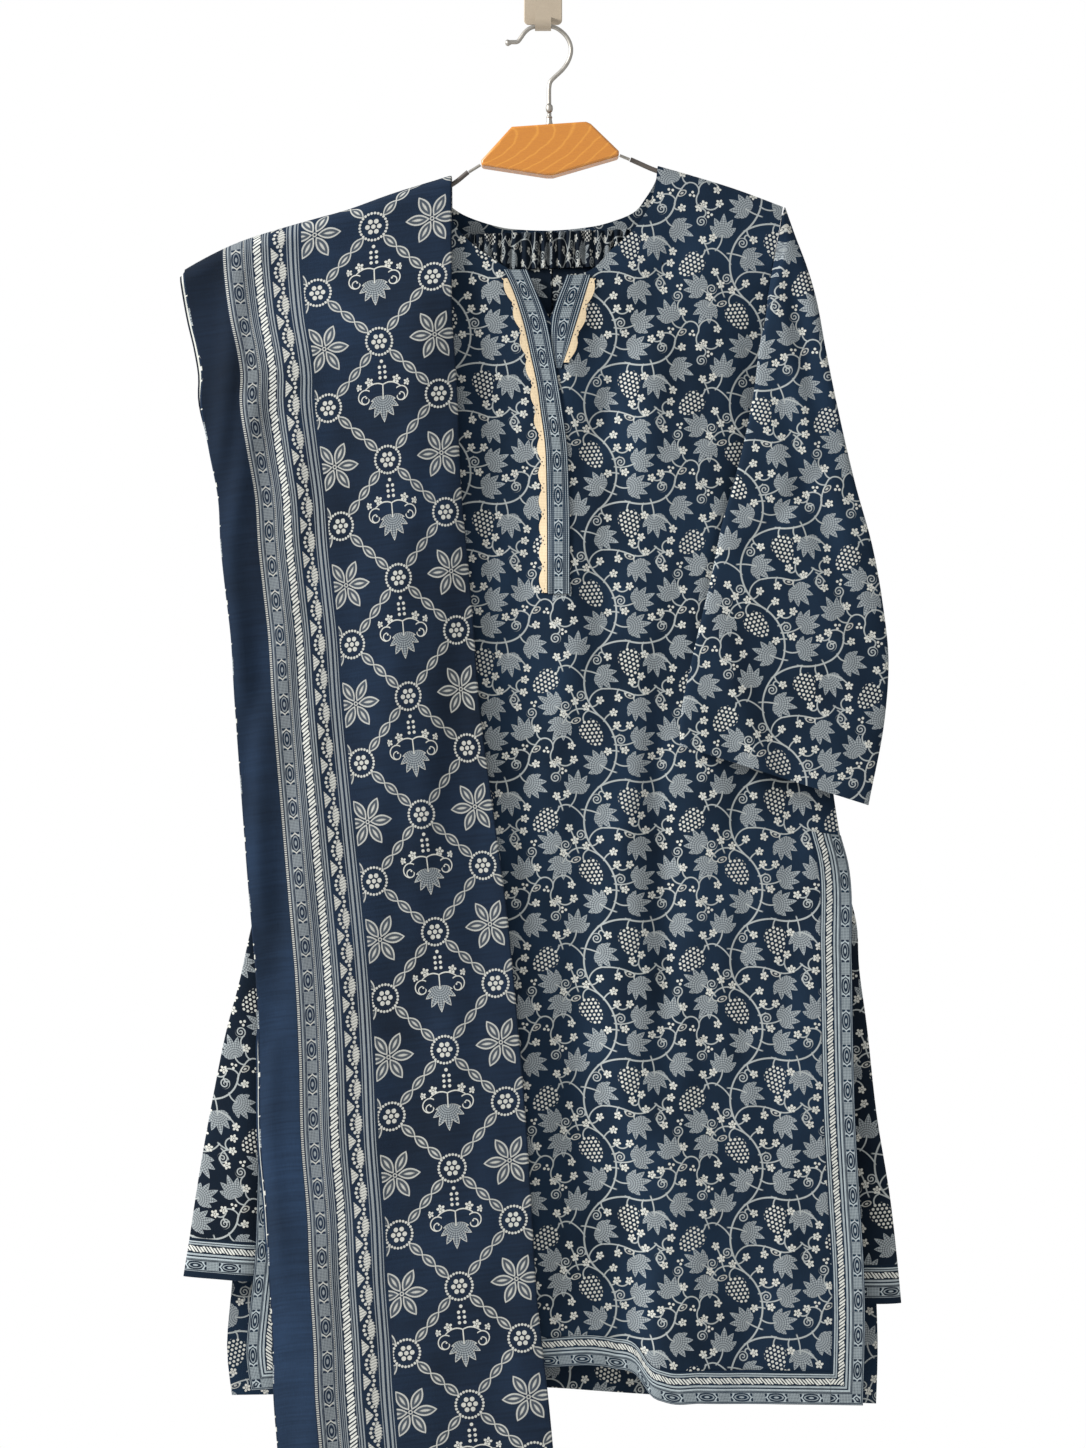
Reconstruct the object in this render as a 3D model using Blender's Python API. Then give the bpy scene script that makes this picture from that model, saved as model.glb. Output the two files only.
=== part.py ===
"""A salwar kameez suit on a hanger: a kameez, a pair of salwar trousers inside it and a dupatta
folded over one shoulder, hung from a hook on a wall.

Sizes are in millimetres and are scaled to metres when a mesh is made. +X is across, +Y goes into
the wall, which is the plane y = 0, and +Z is up. The origin is the centre of the wall plate's back.
Heights are given as a drop below the origin. Left and right in names are the wearer's, so the left
sleeve is on the +X side.
"""

import math

import bmesh
import bpy
import numpy as np

MM = 0.001
GAP = 0.3  # left between pieces that touch
CLOTH = 1.2  # wall of the cotton cloth
TRIM = 0.8  # wall of the strips and lace that lie on it
HUNG_Y = -28.0  # the plane that the hanger hangs in

# Kameez
NECK_RIGHT, NECK_LEFT = (-92, 173.2), (101, 156)  # x, drop of the shoulder seams' inner ends
TIP_RIGHT, TIP_LEFT = (-195, 209), (211, 192)  # x, drop of the shoulder tips
ARMPIT_RIGHT, ARMPIT_LEFT = 388, 372  # drop
SLIT_DROP = 745  # where the side slits start
SEAM_HALF = 0.75  # from the hung plane to the middle of a wall that meets its neighbour at a seam
SHOULDER_ROUND = 6.0  # how soon the cloth stands off the shoulder seam
ARMHOLE_OPEN = 6.0  # how far the front and the back stand from the hung plane below a shoulder tip

SIDES = (  # drop, x of the right edge, x of the left edge, for front and back alike
    (150, -195, 211),
    (192, -195, 211),
    (210, -195, 208),
    (240, -190, 202),
    (280, -182, 196),
    (320, -177, 192.5),
    (350, -177, 194),
    (372, -181, 204),
    (388, -188, 208.5),
    (432, -199, 217.5),
    (503, -213, 230.5),
    (591, -226, 242),
    (696, -238, 254),
    (745, -245, 261.5),
)
FRONT_SLITS = (  # drop, x of the right edge, x of the left edge
    (765, -246, 267),
    (850, -247, 270.5),
    (915, -248, 271.5),
    (992, -249, 273.5),
    (1064, -250.5, 277.5),
    (1122, -253, 281),
    (1160, -257, 282),
    (1200, -260, 281.5),
    (1244, -253, 280),
)
BACK_SLITS = (  # drop, x of the right edge, x of the left edge
    (765, -247, 265.5),
    (847, -254, 275),
    (962, -261, 283),
    (1068, -269, 290),
    (1146, -275.5, 294.5),
    (1200, -279.5, 296),
    (1250, -274, 294.5),
)
FRONT_TOP = (  # x, drop along the shoulders, the neck and its notch
    (-195, 209), (-174, 201.5), (-149, 192), (-114, 180), (-92, 173.2), (-90.5, 179), (-82, 199),
    (-73, 215), (-55, 231), (-40, 241.5), (-25, 250.5), (-11.5, 255.5), (-3, 273), (6, 292),
    (13, 273), (19.5, 254.5), (32.5, 252), (45.5, 246), (60.5, 230), (72, 220.5), (85, 206),
    (94, 190), (98.5, 174), (100.4, 161.5), (101, 156), (129, 164), (165, 175), (190, 184),
    (211, 192),
)
BACK_TOP = (  # x, drop along the shoulders and the back of the neck
    (-195, 209), (-174, 201.5), (-149, 192), (-114, 180), (-92, 173.2), (-90.5, 179), (-80, 191),
    (-64, 200), (-38, 208), (-16, 210.5), (8, 211), (33, 209), (55, 205), (79.5, 195.5), (91, 182),
    (99, 168.5), (100.4, 161.5), (101, 156), (129, 164), (165, 175), (190, 184), (211, 192),
)
FRONT_HEM = (  # x, drop: the hem steps down where a fold passes in front
    (-260, 1231), (-125, 1221.5), (-3, 1211), (63, 1213), (86, 1221), (95, 1234), (108, 1240),
    (137, 1241), (282, 1243.5),
)
BACK_HEM = ((-280, 1240.5), (-126, 1238), (0, 1233.5), (92, 1239.5), (296, 1248))  # x, drop
BAG = (  # drop, how far the front stands off the hung plane, how far the back does
    (150, 8, 8),
    (250, 10, 10.5),
    (400, 12, 12),
    (745, 13.5, 13),
    (900, 15, 13.5),
    (1250, 16, 12.5),
)
TOP_STEPS = (0, 1.5, 5, 12)  # rows this far below the top edge, round the shoulder
ROW_STEP_END = 24  # the first of the rows that divide what is left
EVEN_BY = 260  # how far below the top edge a panel's columns are evenly spaced
FRONT_ROWS = (0, 0.035, 0.07, 0.1, 0.13, 0.152, 0.172, 0.22, 0.29, 0.37, 0.44, 0.515, 0.57, 0.63,
              0.69, 0.75, 0.81, 0.87, 0.93, 0.972, 1)
BACK_ROWS = (0, 0.035, 0.07, 0.1, 0.13, 0.152, 0.172, 0.22, 0.3, 0.4, 0.515, 0.62, 0.74, 0.87, 1)
SLIT_ROW, HEM_ROW = 0.515, 0.972  # the rows where the slit borders and the hem border start

# Folds of the kameez front
RIDGE = ((705, 37), (845, 50), (976, 63), (1090, 85), (1225, 92))  # drop, x of the main fold's edge
RIDGE_RISE, RIDGE_SINK = 7.0, 6.5  # how far the cloth stands out past the edge, and back before it
SIDE_FOLD = (176, 15, 3.0)  # x, half width, depth of the soft hollow below the sleeve

# Neck strips and lace: drop, x of one edge, x of the other, from the top down
LONG_STRIP = (
    (248.5, -35, -14), (256, -31, -11), (290, -18.5, 2), (324, -10.5, 9), (350, -5, 13.5),
    (372, -2, 17), (397, 1.5, 20.5), (449, 3.5, 23), (533, 4, 23.5),
)
SHORT_STRIP = ((253, 20.5, 42), (292, 7.5, 30), (316, 7.5, 22.5), (335, 12, 16))
STRIP_STANDOFF = 0.45  # a strip's clearance from the panel
STRIP_OVERLAP = (300, 400)  # drop over which the long strip comes down off the short one
LACE_PITCH = 23.0
LACE_WIDTH, LACE_SCALLOP = 3.4, 2.6  # of its plain band and of its scallops

# Sleeves: drop, x and y down an edge. The inner edge is a fold that lies in front of the body.
LEFT_INNER = (
    (192, 212.6, -31), (200, 212.2, -34), (230, 207, -37.5), (262, 201, -39), (290, 196, -40),
    (312, 191, -41),
    (356, 185, -43.5), (416, 172.5, -45.5), (476, 156, -47), (520, 147, -48), (562, 137, -49),
    (597, 129, -50), (648, 120, -50), (666, 120, -50),
)
LEFT_OUTER = (
    (192, 212.8, -28), (204, 217, -28), (217, 221.5, -29.5), (243, 231, -33), (272, 239, -37),
    (316, 247, -40.5), (376, 259, -43), (437, 273, -45), (492, 288, -46), (542, 297, -46),
    (590, 302, -46), (640, 299, -46), (718, 284.5, -46),
)
RIGHT_INNER = (
    (209, -196.6, -31), (217, -196.2, -34), (247, -191, -37), (280, -185, -38.5), (306, -180, -40),
    (328, -175, -41),
    (372, -168, -43.5), (432, -158, -45.5), (476, -149, -47), (520, -140, -48), (570, -129, -48),
    (620, -119, -48), (662, -112, -48), (690, -110, -48),
)
RIGHT_OUTER = (
    (209, -196.8, -28), (221, -201, -28), (236, -205, -30), (262, -210.5, -34), (310, -217, -40),
    (370, -226, -43), (440, -234, -45), (510, -239, -45), (580, -240, -45), (650, -238, -45),
    (734, -231, -45),
)
LEFT_HALF = ((192, 0.8), (215, 2.5), (250, 6), (300, 7), (700, 7))  # drop, half thickness
RIGHT_HALF = ((209, 0.8), (232, 2.5), (270, 4.5), (700, 4.5))
UNDERARM = (0.47, 0.4)  # how far across the underarm seam lies, below the armpit and at the hem
SLEEVE_HEMS = {"left": (666, 718), "right": (690, 734)}  # drop at the inner and the outer edge
ARMHOLE_SHARES = (0.04, 0.095, 0.16, 0.23, 0.36, 0.52, 0.68, 0.82, 0.92, 1)  # rows down the armhole
ARCH = 7.0  # how much higher the first row passes over the shoulder tip
ARCH_FADE = (5, 70)  # how far below it the rows turn from an even arch into a flattened tube
SLEEVE_SHARES = (0.035, 0.1, 0.22, 0.38, 0.55, 0.72, 0.88, 1)  # rows from the armpit to the hem
UNDER_SHARES = np.array((1, 0.5, 0.12))  # columns from the seam forward to the inner fold
UNDER_PULL = (1, 1.7)  # power by which they come back to the seam, and what a deep fold adds to it
UNDER_FORWARD = 1.1  # how far in front of the panel's edge a deep fold starts
SLEEVE_TURN = (20, 45, 75, 105, 135, 160, 180)  # degrees from one edge round to the other
ARMHOLE_CLEAR = 1.5  # from a panel's edge to the sleeve's wall, which leans there

# Salwar
WAIST_Y = -27.6
WAIST_X = (-133, 149)
WAIST_DROP = (219, 210)  # of the top edge at each end of WAIST_X
BAND_HEIGHT = 32
BAND_HALF, GATHER_HALF = 6.2, 1.5  # half thickness of the band, and half depth of its gathers
GATHERS = 70  # round the waist
LEG_Y = -25.0
LEG_HALF = 6.5
CROTCH = (480, 600)  # drop over which a leg closes into a tube of its own
LEFT_LEG = (  # drop, x of the outer edge, x of the inner edge
    (240, 148, 8.5), (300, 152, 8.5), (379, 166, 8.5), (503, 190, 8.5), (626, 215, 9),
    (700, 232, 9.5), (745, 250, 10), (793, 268, 10), (820, 275.5, 10), (863, 278.5, 10.5),
    (908, 284.5, 11), (994, 294, 11), (1066, 305.5, 11.5), (1118, 311.5, 12), (1165, 316, 12),
)
RIGHT_LEG = (
    (240, -132, 7.5), (300, -136, 7.5), (379, -150, 7.5), (503, -176, 7.5), (626, -204, 6),
    (700, -222, 4), (745, -235, 3), (790, -247, 2), (824, -256, 1), (874, -267, 0),
    (919, -279, -1), (968, -289, -2), (1022, -299, -2), (1071, -307, -2), (1095, -310.5, -2),
    (1150, -319.5, -2),
)
LEG_HEMS = {"left": (1157, 1163), "right": (1134, 1152)}  # drop at the outer and inner edges
LEG_ACROSS = (0, 0.16, 0.32, 0.48, 0.64, 0.79, 0.91, 0.98, 1)
LEG_ROWS = 13
LEG_FOLD_PITCH, LEG_FOLD_HALF = 82.0, 2.2

# Dupatta, folded lengthwise in four
RIDGE_TOP = (  # x, drop of its outer face where it passes over the shoulder
    (-330, 254), (-318, 247.5), (-310, 243), (-271, 224), (-230, 210.5), (-200, 202), (-173, 194.5),
    (-137, 181.5), (-81, 164),
)
DUPATTA_EDGES = (  # drop, x of the outer edge, x of the edge at the neck
    (160, -318, -81), (254, -315, -80.5), (294, -308, -80), (322, -301, -78), (344, -297.5, -76.5),
    (362, -298.5, -75.5), (406, -291.5, -74), (452, -283, -71.5), (489, -281, -68), (531, -276.5, -64),
    (568, -272, -61), (626, -268.5, -56.5), (731, -261, -43), (822, -254, -31), (863, -251, -27),
    (939, -248, -20), (1010, -247, -14.5), (1081, -241, -10), (1135, -239, -7), (1194, -236, -1),
    (1232, -235.5, 3.5), (1279, -232, 8), (1400, -223, 15),
)
DUPATTA_END = (1398, 1380)  # drop of the front end at its outer and inner edges
DUPATTA_BACK_END = (1232, 1214)
PLIES = 3.0  # the hidden plies together
PLY_GAP = 0.5  # between them and the upper ply
FOLD_ROUND = 11.0  # radius of their inner face over the shoulder
FOLD_TURNS = (0, 4, 30, 60, 90)  # degrees round the fold
FRONT_REST = ((150, -44), (420, -44), (760, -46), (900, -47), (1250, -48), (1400, -48))  # drop, y
BACK_REST = (  # drop, y of the plies' inner face on the kameez back
    (150, -16), (250, -15.4), (400, -14), (745, -12.9), (900, -12.3), (1250, -12.3),
)
SLEEVE_LIFT = 10.2  # how much further out the dupatta lies over the right sleeve
DUPATTA_ACROSS = 10
PLY_SHOWS = 5.0  # how far the hidden plies reach past the upper one near the shoulder
PLY_TUCK = 1.0  # how far back from its edge they end below that

# Hanger
HOOK_WIRE = 1.9  # radius
HOOK_BALL = 2.9
HOOK_PATH = (  # x, drop, radius from the ball to the neck
    (-33.2, 47.6, 0.9), (-32.6, 47.5, 2.1), (-31, 47.2, HOOK_BALL), (-29.2, 46.9, 2.2),
    (-27.6, 46.6, HOOK_WIRE), (-22.5, 46.2, HOOK_WIRE), (-19.3, 42.5, HOOK_WIRE),
    (-16, 38, HOOK_WIRE), (-11.4, 34.3, HOOK_WIRE), (-5, 32.5, HOOK_WIRE), (2, 32.4, HOOK_WIRE),
    (8.8, 33.1, HOOK_WIRE), (14.3, 35.7, HOOK_WIRE), (19.4, 40.2, HOOK_WIRE),
    (22.9, 45.6, HOOK_WIRE), (24.6, 51.5, HOOK_WIRE), (24.2, 57.8, HOOK_WIRE),
    (21.6, 64.6, HOOK_WIRE), (17, 71, HOOK_WIRE), (10.6, 77.1, HOOK_WIRE), (6.8, 81.2, HOOK_WIRE),
    (5.5, 86, HOOK_WIRE), (5.3, 93, HOOK_WIRE), (5.4, 101, HOOK_WIRE),
)
NECK_X = 5.6
BEAD = ((101.3, 1.6), (102.3, 2.5), (104, 3.0), (106, 3.0), (107.8, 2.4), (108.8, 1.5))  # drop, radius
FERRULE = ((109.1, 1.5), (111.5, 1.9), (116, 2.6), (119.5, 2.9))  # drop, radius
BLOCK = (  # x, drop round the wooden block
    (-27.5, 122.6), (33, 118.4), (38, 118.2), (42, 120), (66.7, 144), (66.7, 148.5), (9, 165.3),
    (3, 165.3), (-54.2, 156.5), (-54.2, 152),
)
BLOCK_HALF = 11.0
BLOCK_BEVEL = 1.6
ARM_WIRE = (1.3, 2.4)  # half height, half depth of the flattened wire
ARM_SLEEVE = (2.1, 2.6)
ARM_GAP = 0.8  # at each end of the slanting wire
ARM_ROUTES = {  # x, drop of the arm's centre from the block to its end, inside the shoulder
    "right": ((-55.2, 154.8), (-66, 161), (-78, 170.6), (-92, 178.2), (-114, 184.4), (-149, 196.3),
              (-184, 209.2)),
    "left": ((67.6, 146.4), (77, 149.9), (101, 160.2), (129, 168.3), (165, 179.3), (190, 188.3),
             (199, 191.8)),
}

# Wall hook
PLATE = (34.0, 52.0, 3.0)  # width, height, thickness
PLATE_CORNER = 4.5
TAB_SHEET = 1.2
TAB_ROUND = 9.6  # radius of the bend's middle surface
TAB_BEND_DROP = 26.45
TAB_ARM_DROP = 20.0
TAB_FRONT = ((-38.4, 23.0, 7.1), (-38.8, 20.5, 6.6), (-39.2, 18.3, 4.8), (-39.4, 16.6, 3.0),
             (-39.5, 15.7, 1.6))  # y, drop, half width up the tab
TAB_HALF = 7.1


# ---- working tools ----

def curve(rows, column=1):
    """A smooth function through a table's first column and another one. It is level past the ends."""
    at = np.array([row[0] for row in rows], float)
    value = np.array([row[column] for row in rows], float)
    slope = np.gradient(value, at)

    def read(x):
        x = np.clip(x, at[0], at[-1])
        i = np.clip(np.searchsorted(at, x) - 1, 0, len(at) - 2)
        step = at[i + 1] - at[i]
        t = (x - at[i]) / step
        return (
            (1 + 2 * t) * (1 - t) ** 2 * value[i]
            + t * (1 - t) ** 2 * step * slope[i]
            + t * t * (3 - 2 * t) * value[i + 1]
            + t * t * (t - 1) * step * slope[i + 1]
        )

    return read


def ease(low, high, x):
    t = np.clip((x - low) / (high - low), 0, 1)
    return t * t * (3 - 2 * t)


def points(x, y, drop):
    return np.stack(np.broadcast_arrays(x, y, -np.asarray(drop, float)), axis=-1).astype(float)


def finish(name, corners, faces, look, sharp=35):
    """One closed object from corners in millimetres, with its faces turned outwards."""
    mesh = bpy.data.meshes.new(name)
    mesh.from_pydata([tuple(c * MM for c in corner) for corner in corners], [], faces)
    build = bmesh.new()
    build.from_mesh(mesh)
    bmesh.ops.recalc_face_normals(build, faces=build.faces)
    if build.calc_volume(signed=True) < 0:
        bmesh.ops.reverse_faces(build, faces=build.faces)
    build.to_mesh(mesh)
    build.free()
    mesh.shade_smooth()
    mesh.set_sharp_from_angle(angle=math.radians(sharp))
    piece = bpy.data.objects.new(name, mesh)
    bpy.context.collection.objects.link(piece)
    mesh.materials.append(material(*look))
    return piece


def material(name, colour, roughness, metallic=0.0):
    made = bpy.data.materials.get(name)
    if made is None:
        made = bpy.data.materials.new(name)
        made.use_nodes = True
        shader = made.node_tree.nodes["Principled BSDF"]
        shader.inputs["Base Color"].default_value = (*colour, 1)
        shader.inputs["Roughness"].default_value = roughness
        shader.inputs["Metallic"].default_value = metallic
    return made


NAVY = ("navy_cotton", (0.035, 0.062, 0.105), 0.9)
BLUE = ("blue_cotton", (0.045, 0.08, 0.14), 0.9)
BORDER = ("border_print", (0.18, 0.22, 0.28), 0.9)
CREAM = ("cream_lace", (0.85, 0.76, 0.6), 0.85)
WOOD = ("honey_wood", (0.62, 0.3, 0.08), 0.45)
NICKEL = ("satin_nickel", (0.62, 0.59, 0.55), 0.3, 1.0)
DARK = ("dark_sleeve", (0.03, 0.02, 0.017), 0.7)
BEIGE = ("beige_enamel", (0.5, 0.42, 0.31), 0.5)


def normals(middle, ring):
    """Unit normals of a grid of points; ring closes its columns."""
    if ring:
        across = np.roll(middle, -1, axis=1) - np.roll(middle, 1, axis=1)
    else:
        across = np.gradient(middle, axis=1)
    found = np.cross(across, np.gradient(middle, axis=0))
    return found / np.linalg.norm(found, axis=-1, keepdims=True)


def wall(name, middle, thickness, look, ring=False, bulge=0.0):
    """A closed wall of even thickness round a grid of points, rows by columns. Every wall is cut
    into triangles the same way, so that one made from another's points keeps its distance. bulge
    rounds its side edges out by that much."""
    rows, columns = middle.shape[:2]
    lift = normals(middle, ring) * thickness / 2
    sheets = np.concatenate([(middle + lift).reshape(-1, 3), (middle - lift).reshape(-1, 3)])
    half = rows * columns
    corners = [tuple(c) for c in sheets]
    across = columns if ring else columns - 1
    faces = []

    def place(row, column, sheet):
        return sheet * half + row * columns + column % columns

    for row in range(rows - 1):
        for column in range(across):
            upper = [(row, column), (row, column + 1), (row + 1, column + 1)]
            lower = [(row, column), (row + 1, column + 1), (row + 1, column)]
            for half_cell in (upper, lower):
                faces.append([place(r, c, 0) for r, c in half_cell])
                faces.append([place(r, c, 1) for r, c in reversed(half_cell)])
    for row in (0, rows - 1):
        for column in range(across):
            faces.append([place(row, column, 0), place(row, column, 1),
                          place(row, column + 1, 1), place(row, column + 1, 0)])
    if not ring:
        for column in (0, columns - 1):
            inner = 1 if column == 0 else columns - 2
            out = middle[:, column] - middle[:, inner]
            out /= np.linalg.norm(out, axis=-1, keepdims=True)
            first = len(corners)
            if bulge:
                corners += [tuple(c) for c in middle[:, column] + out * bulge]
            for row in range(rows - 1):
                near, far = [place(row, column, s) for s in (0, 1)]
                near_below, far_below = [place(row + 1, column, s) for s in (0, 1)]
                if bulge:
                    edge, edge_below = first + row, first + row + 1
                    faces.append([near, near_below, edge_below, edge])
                    faces.append([edge, edge_below, far_below, far])
                else:
                    faces.append([near, near_below, far_below, far])
            if bulge:
                faces.append([place(0, column, 0), first, place(0, column, 1)])
                faces.append([place(rows - 1, column, 0), first + rows - 1, place(rows - 1, column, 1)])
    return finish(name, corners, faces, look)


def slab(name, outline, y_front, y_back, look, bevel):
    """An outline of (x, drop) between two depths, with bevelled edges."""
    count = len(outline)
    corners = [(x, y, -drop) for y in (y_front, y_back) for x, drop in outline]
    faces = [list(range(count)), list(range(2 * count - 1, count - 1, -1))]
    faces += [[i, (i + 1) % count, count + (i + 1) % count, count + i] for i in range(count)]
    piece = finish(name, corners, faces, look)
    edges = piece.modifiers.new("edges", "BEVEL")
    edges.width, edges.segments, edges.limit_method = bevel * MM, 2, "ANGLE"
    edges.angle_limit = math.radians(50)
    return piece


def turned(name, profile, centre_x, look, sides=14):
    """A profile of (drop, radius) turned about a vertical axis."""
    angles = [2 * math.pi * i / sides for i in range(sides)]
    corners = [(centre_x + radius * math.cos(a), HUNG_Y + radius * math.sin(a), -drop)
               for drop, radius in profile for a in angles]
    faces = [[r * sides + i, r * sides + (i + 1) % sides, (r + 1) * sides + (i + 1) % sides,
              (r + 1) * sides + i] for r in range(len(profile) - 1) for i in range(sides)]
    last = (len(profile) - 1) * sides
    faces += [list(range(sides - 1, -1, -1)), list(range(last, last + sides))]
    return finish(name, corners, faces, look, 50)


def rod(name, route, look, sides=8):
    """A round or oval rod along a route of (x, drop, half height, half depth) in the hung plane."""
    route = np.array(route, float)
    along = np.gradient(route[:, :2], axis=0)
    along /= np.linalg.norm(along, axis=1, keepdims=True)
    corners = []
    for (x, drop, high, deep), (dx, dd) in zip(route, along):
        for i in range(sides):
            a = 2 * math.pi * i / sides
            rise = high * math.cos(a)
            corners.append((x + dd * rise, HUNG_Y + deep * math.sin(a), -(drop - dx * rise)))
    faces = [[r * sides + i, r * sides + (i + 1) % sides, (r + 1) * sides + (i + 1) % sides,
              (r + 1) * sides + i] for r in range(len(route) - 1) for i in range(sides)]
    last = (len(route) - 1) * sides
    faces += [list(range(sides - 1, -1, -1)), list(range(last, last + sides))]
    return finish(name, corners, faces, look, 60)


# ---- the kameez's form ----

FRONT_EDGES, BACK_EDGES = SIDES + FRONT_SLITS, SIDES + BACK_SLITS
bag_front, bag_back = curve(BAG, 1), curve(BAG, 2)
ridge_x = curve(RIDGE)


def armhole(drop, tip, armpit):
    """How far a panel stands off the hung plane along an armhole."""
    return ARMHOLE_OPEN * (1 - np.clip((drop - tip) / (armpit - tip), 0, 1) ** 3)


def stand_off(across, drop, top, top_x, bag):
    """How far a kameez panel's middle surface lies from the hung plane. across runs from 0 at the
    right edge to 1 at the left, and top is the drop of the panel's top edge in that column."""
    full = bag(drop)
    right = across < 0.5
    edge = np.where(
        right,
        armhole(drop, TIP_RIGHT[1], ARMPIT_RIGHT),
        armhole(drop, TIP_LEFT[1], ARMPIT_LEFT),
    )
    edge = edge + full * ease(SLIT_DROP, SLIT_DROP + 110, drop)
    lens = 1 - np.abs(2 * across - 1) ** 6
    body = edge + (full - edge) * lens
    neck_top = np.where(right, NECK_RIGHT[1], NECK_LEFT[1])
    in_neck = (top_x > NECK_RIGHT[0]) & (top_x < NECK_LEFT[0])
    sewn = np.where(in_neck, np.exp(-(top - neck_top) / SHOULDER_ROUND), 1.0)
    rounded = 1 - np.exp(-(drop - top) / SHOULDER_ROUND)
    return SEAM_HALF - 0.2 * sewn * (1 - rounded) + body * (1 - sewn * (1 - rounded))


def front_folds(x, drop):
    """How far the folds move the kameez front towards the wall."""
    past = x - ridge_x(drop)
    grown = ease(690, 1060, drop)
    rise = RIDGE_RISE * ease(-9, 9, past) * np.exp(-np.clip(past - 14, 0, None) ** 2 / 3600)
    sink = RIDGE_SINK * np.exp(-((past + 34) ** 2) / 1300)
    at, half, deep = SIDE_FOLD
    hollow = deep * np.exp(-((x - at) / half) ** 2) * ease(640, 720, drop) * (1 - ease(880, 1010, drop))
    return grown * (sink - rise) + hollow


def panel(edges, top, hem, rows, bag, side):
    """The middle surface of a kameez panel; side is -1 for the front and 1 for the back."""
    top_x = np.array([x for x, _ in top], float)
    top_drop = np.array([drop for _, drop in top], float)
    left_of, right_of = curve(edges, 1), curve(edges, 2)
    across = (top_x - left_of(top_drop)) / (right_of(top_drop) - left_of(top_drop))
    even = across.copy()
    even[1:-1] = np.linspace(across[1], across[-2], len(across) - 2)
    hem_x = edges[-1][1] + even * (edges[-1][2] - edges[-1][1])
    hem_drop = curve(hem)(hem_x)
    steps = [top_drop + step for step in TOP_STEPS]
    start = top_drop + ROW_STEP_END
    steps += [start + share * (hem_drop - start) for share in rows]
    drop = np.array(steps)
    across = across + (even - across) * ease(0, EVEN_BY, drop - top_drop)
    x = left_of(drop) + across * (right_of(drop) - left_of(drop))
    off = stand_off(across, drop, top_drop, top_x, bag)
    y = HUNG_Y + side * off
    if side < 0:
        y = y + front_folds(x, drop)
    return points(x, y, drop)


def front_panel():
    return panel(FRONT_EDGES, FRONT_TOP, FRONT_HEM, FRONT_ROWS, bag_front, -1)


def front_y(x, drop):
    """y of the kameez front's middle surface in its open middle part, away from seams."""
    left_of, right_of = curve(FRONT_EDGES, 1)(drop), curve(FRONT_EDGES, 2)(drop)
    across = (x - left_of) / (right_of - left_of)
    lens = 1 - np.abs(2 * across - 1) ** 6
    return HUNG_Y - SEAM_HALF - bag_front(drop) * lens + front_folds(x, drop)


def moved_out(patch, by):
    """A panel's points moved towards the viewer along their normals."""
    up = normals(patch, False)
    towards = -np.sign(up[..., 1:2])
    return patch + up * towards * by


# ---- the kameez's pieces ----

def kameez_body():
    wall("kameez_front", front_panel(), CLOTH, NAVY)
    back = panel(BACK_EDGES, BACK_TOP, BACK_HEM, BACK_ROWS, bag_back, 1)
    wall("kameez_back", back, CLOTH, NAVY)


def borders():
    """The slit borders and the hem border: strips of the front's own points, moved out. The hem
    border lies between the slit borders, which run down to the hem."""
    front = front_panel()
    lift = CLOTH / 2 + GAP + TRIM / 2
    whole = moved_out(front, lift)
    first_row = len(TOP_STEPS) + FRONT_ROWS.index(SLIT_ROW)
    hem_row = len(TOP_STEPS) + FRONT_ROWS.index(HEM_ROW)
    for name, columns in (("right", (0, 1)), ("left", (-2, -1))):
        strip = whole[first_row:, columns, :].copy()
        wall(f"border_slit_{name}", strip, TRIM, BORDER)
    hem = whole[hem_row:, 1:-1].copy()
    for column, towards in ((0, 1), (-1, -2)):
        along = hem[:, towards] - hem[:, column]
        along /= np.linalg.norm(along, axis=-1, keepdims=True)
        hem[:, column] += along * GAP
    wall("border_hem", hem, TRIM, BORDER)


def neck_strip(rows, lift, columns=4):
    """The middle surface of a strip that lies on the front: rows of (drop, x, x)."""
    table = np.array(rows, float)
    drop = np.interp(np.linspace(0, 1, 3 * len(rows) - 2), np.linspace(0, 1, len(rows)), table[:, 0])
    share = np.linspace(0, 1, columns)
    near, far = curve(rows, 1)(drop), curve(rows, 2)(drop)
    x = near[:, None] + share * (far - near)[:, None]
    drops = np.broadcast_to(drop[:, None], x.shape)
    return points(x, front_y(x, drops) - lift(drops), drops)


def strip_lift(drop):
    return CLOTH / 2 + STRIP_STANDOFF + TRIM / 2 + 0 * drop


def long_lift(drop):
    low, high = STRIP_OVERLAP
    return strip_lift(drop) + (TRIM + GAP + 0.1) * (1 - ease(low, high, drop))


def neck_strips():
    wall("placket_long", neck_strip(LONG_STRIP, long_lift), TRIM, BORDER)
    wall("placket_short", neck_strip(SHORT_STRIP, strip_lift), TRIM, BORDER)


def lace(name, strip, column, side, top, bottom):
    """A scalloped band beside a neck strip, on the side that side gives."""
    edge = curve(strip, column)
    count = max(1, round((bottom - top) / LACE_PITCH))
    drop = np.linspace(top, bottom, 6 * count + 1)
    wave = np.abs(np.sin(np.pi * count * (drop - top) / (bottom - top))) ** 0.6
    near = edge(drop) + side * GAP
    width = LACE_WIDTH + LACE_SCALLOP * wave
    x = near[:, None] + side * np.array([0, 1]) * width[:, None]
    if side < 0:
        x = x[:, ::-1]
    drops = np.broadcast_to(drop[:, None], x.shape)
    wall(name, points(x, front_y(x, drops) - strip_lift(drops), drops), TRIM, CREAM)


def laces():
    lace("lace_long", LONG_STRIP, 1, -1, 256, 532)
    lace("lace_short", SHORT_STRIP, 2, 1, 256, 330)


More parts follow.
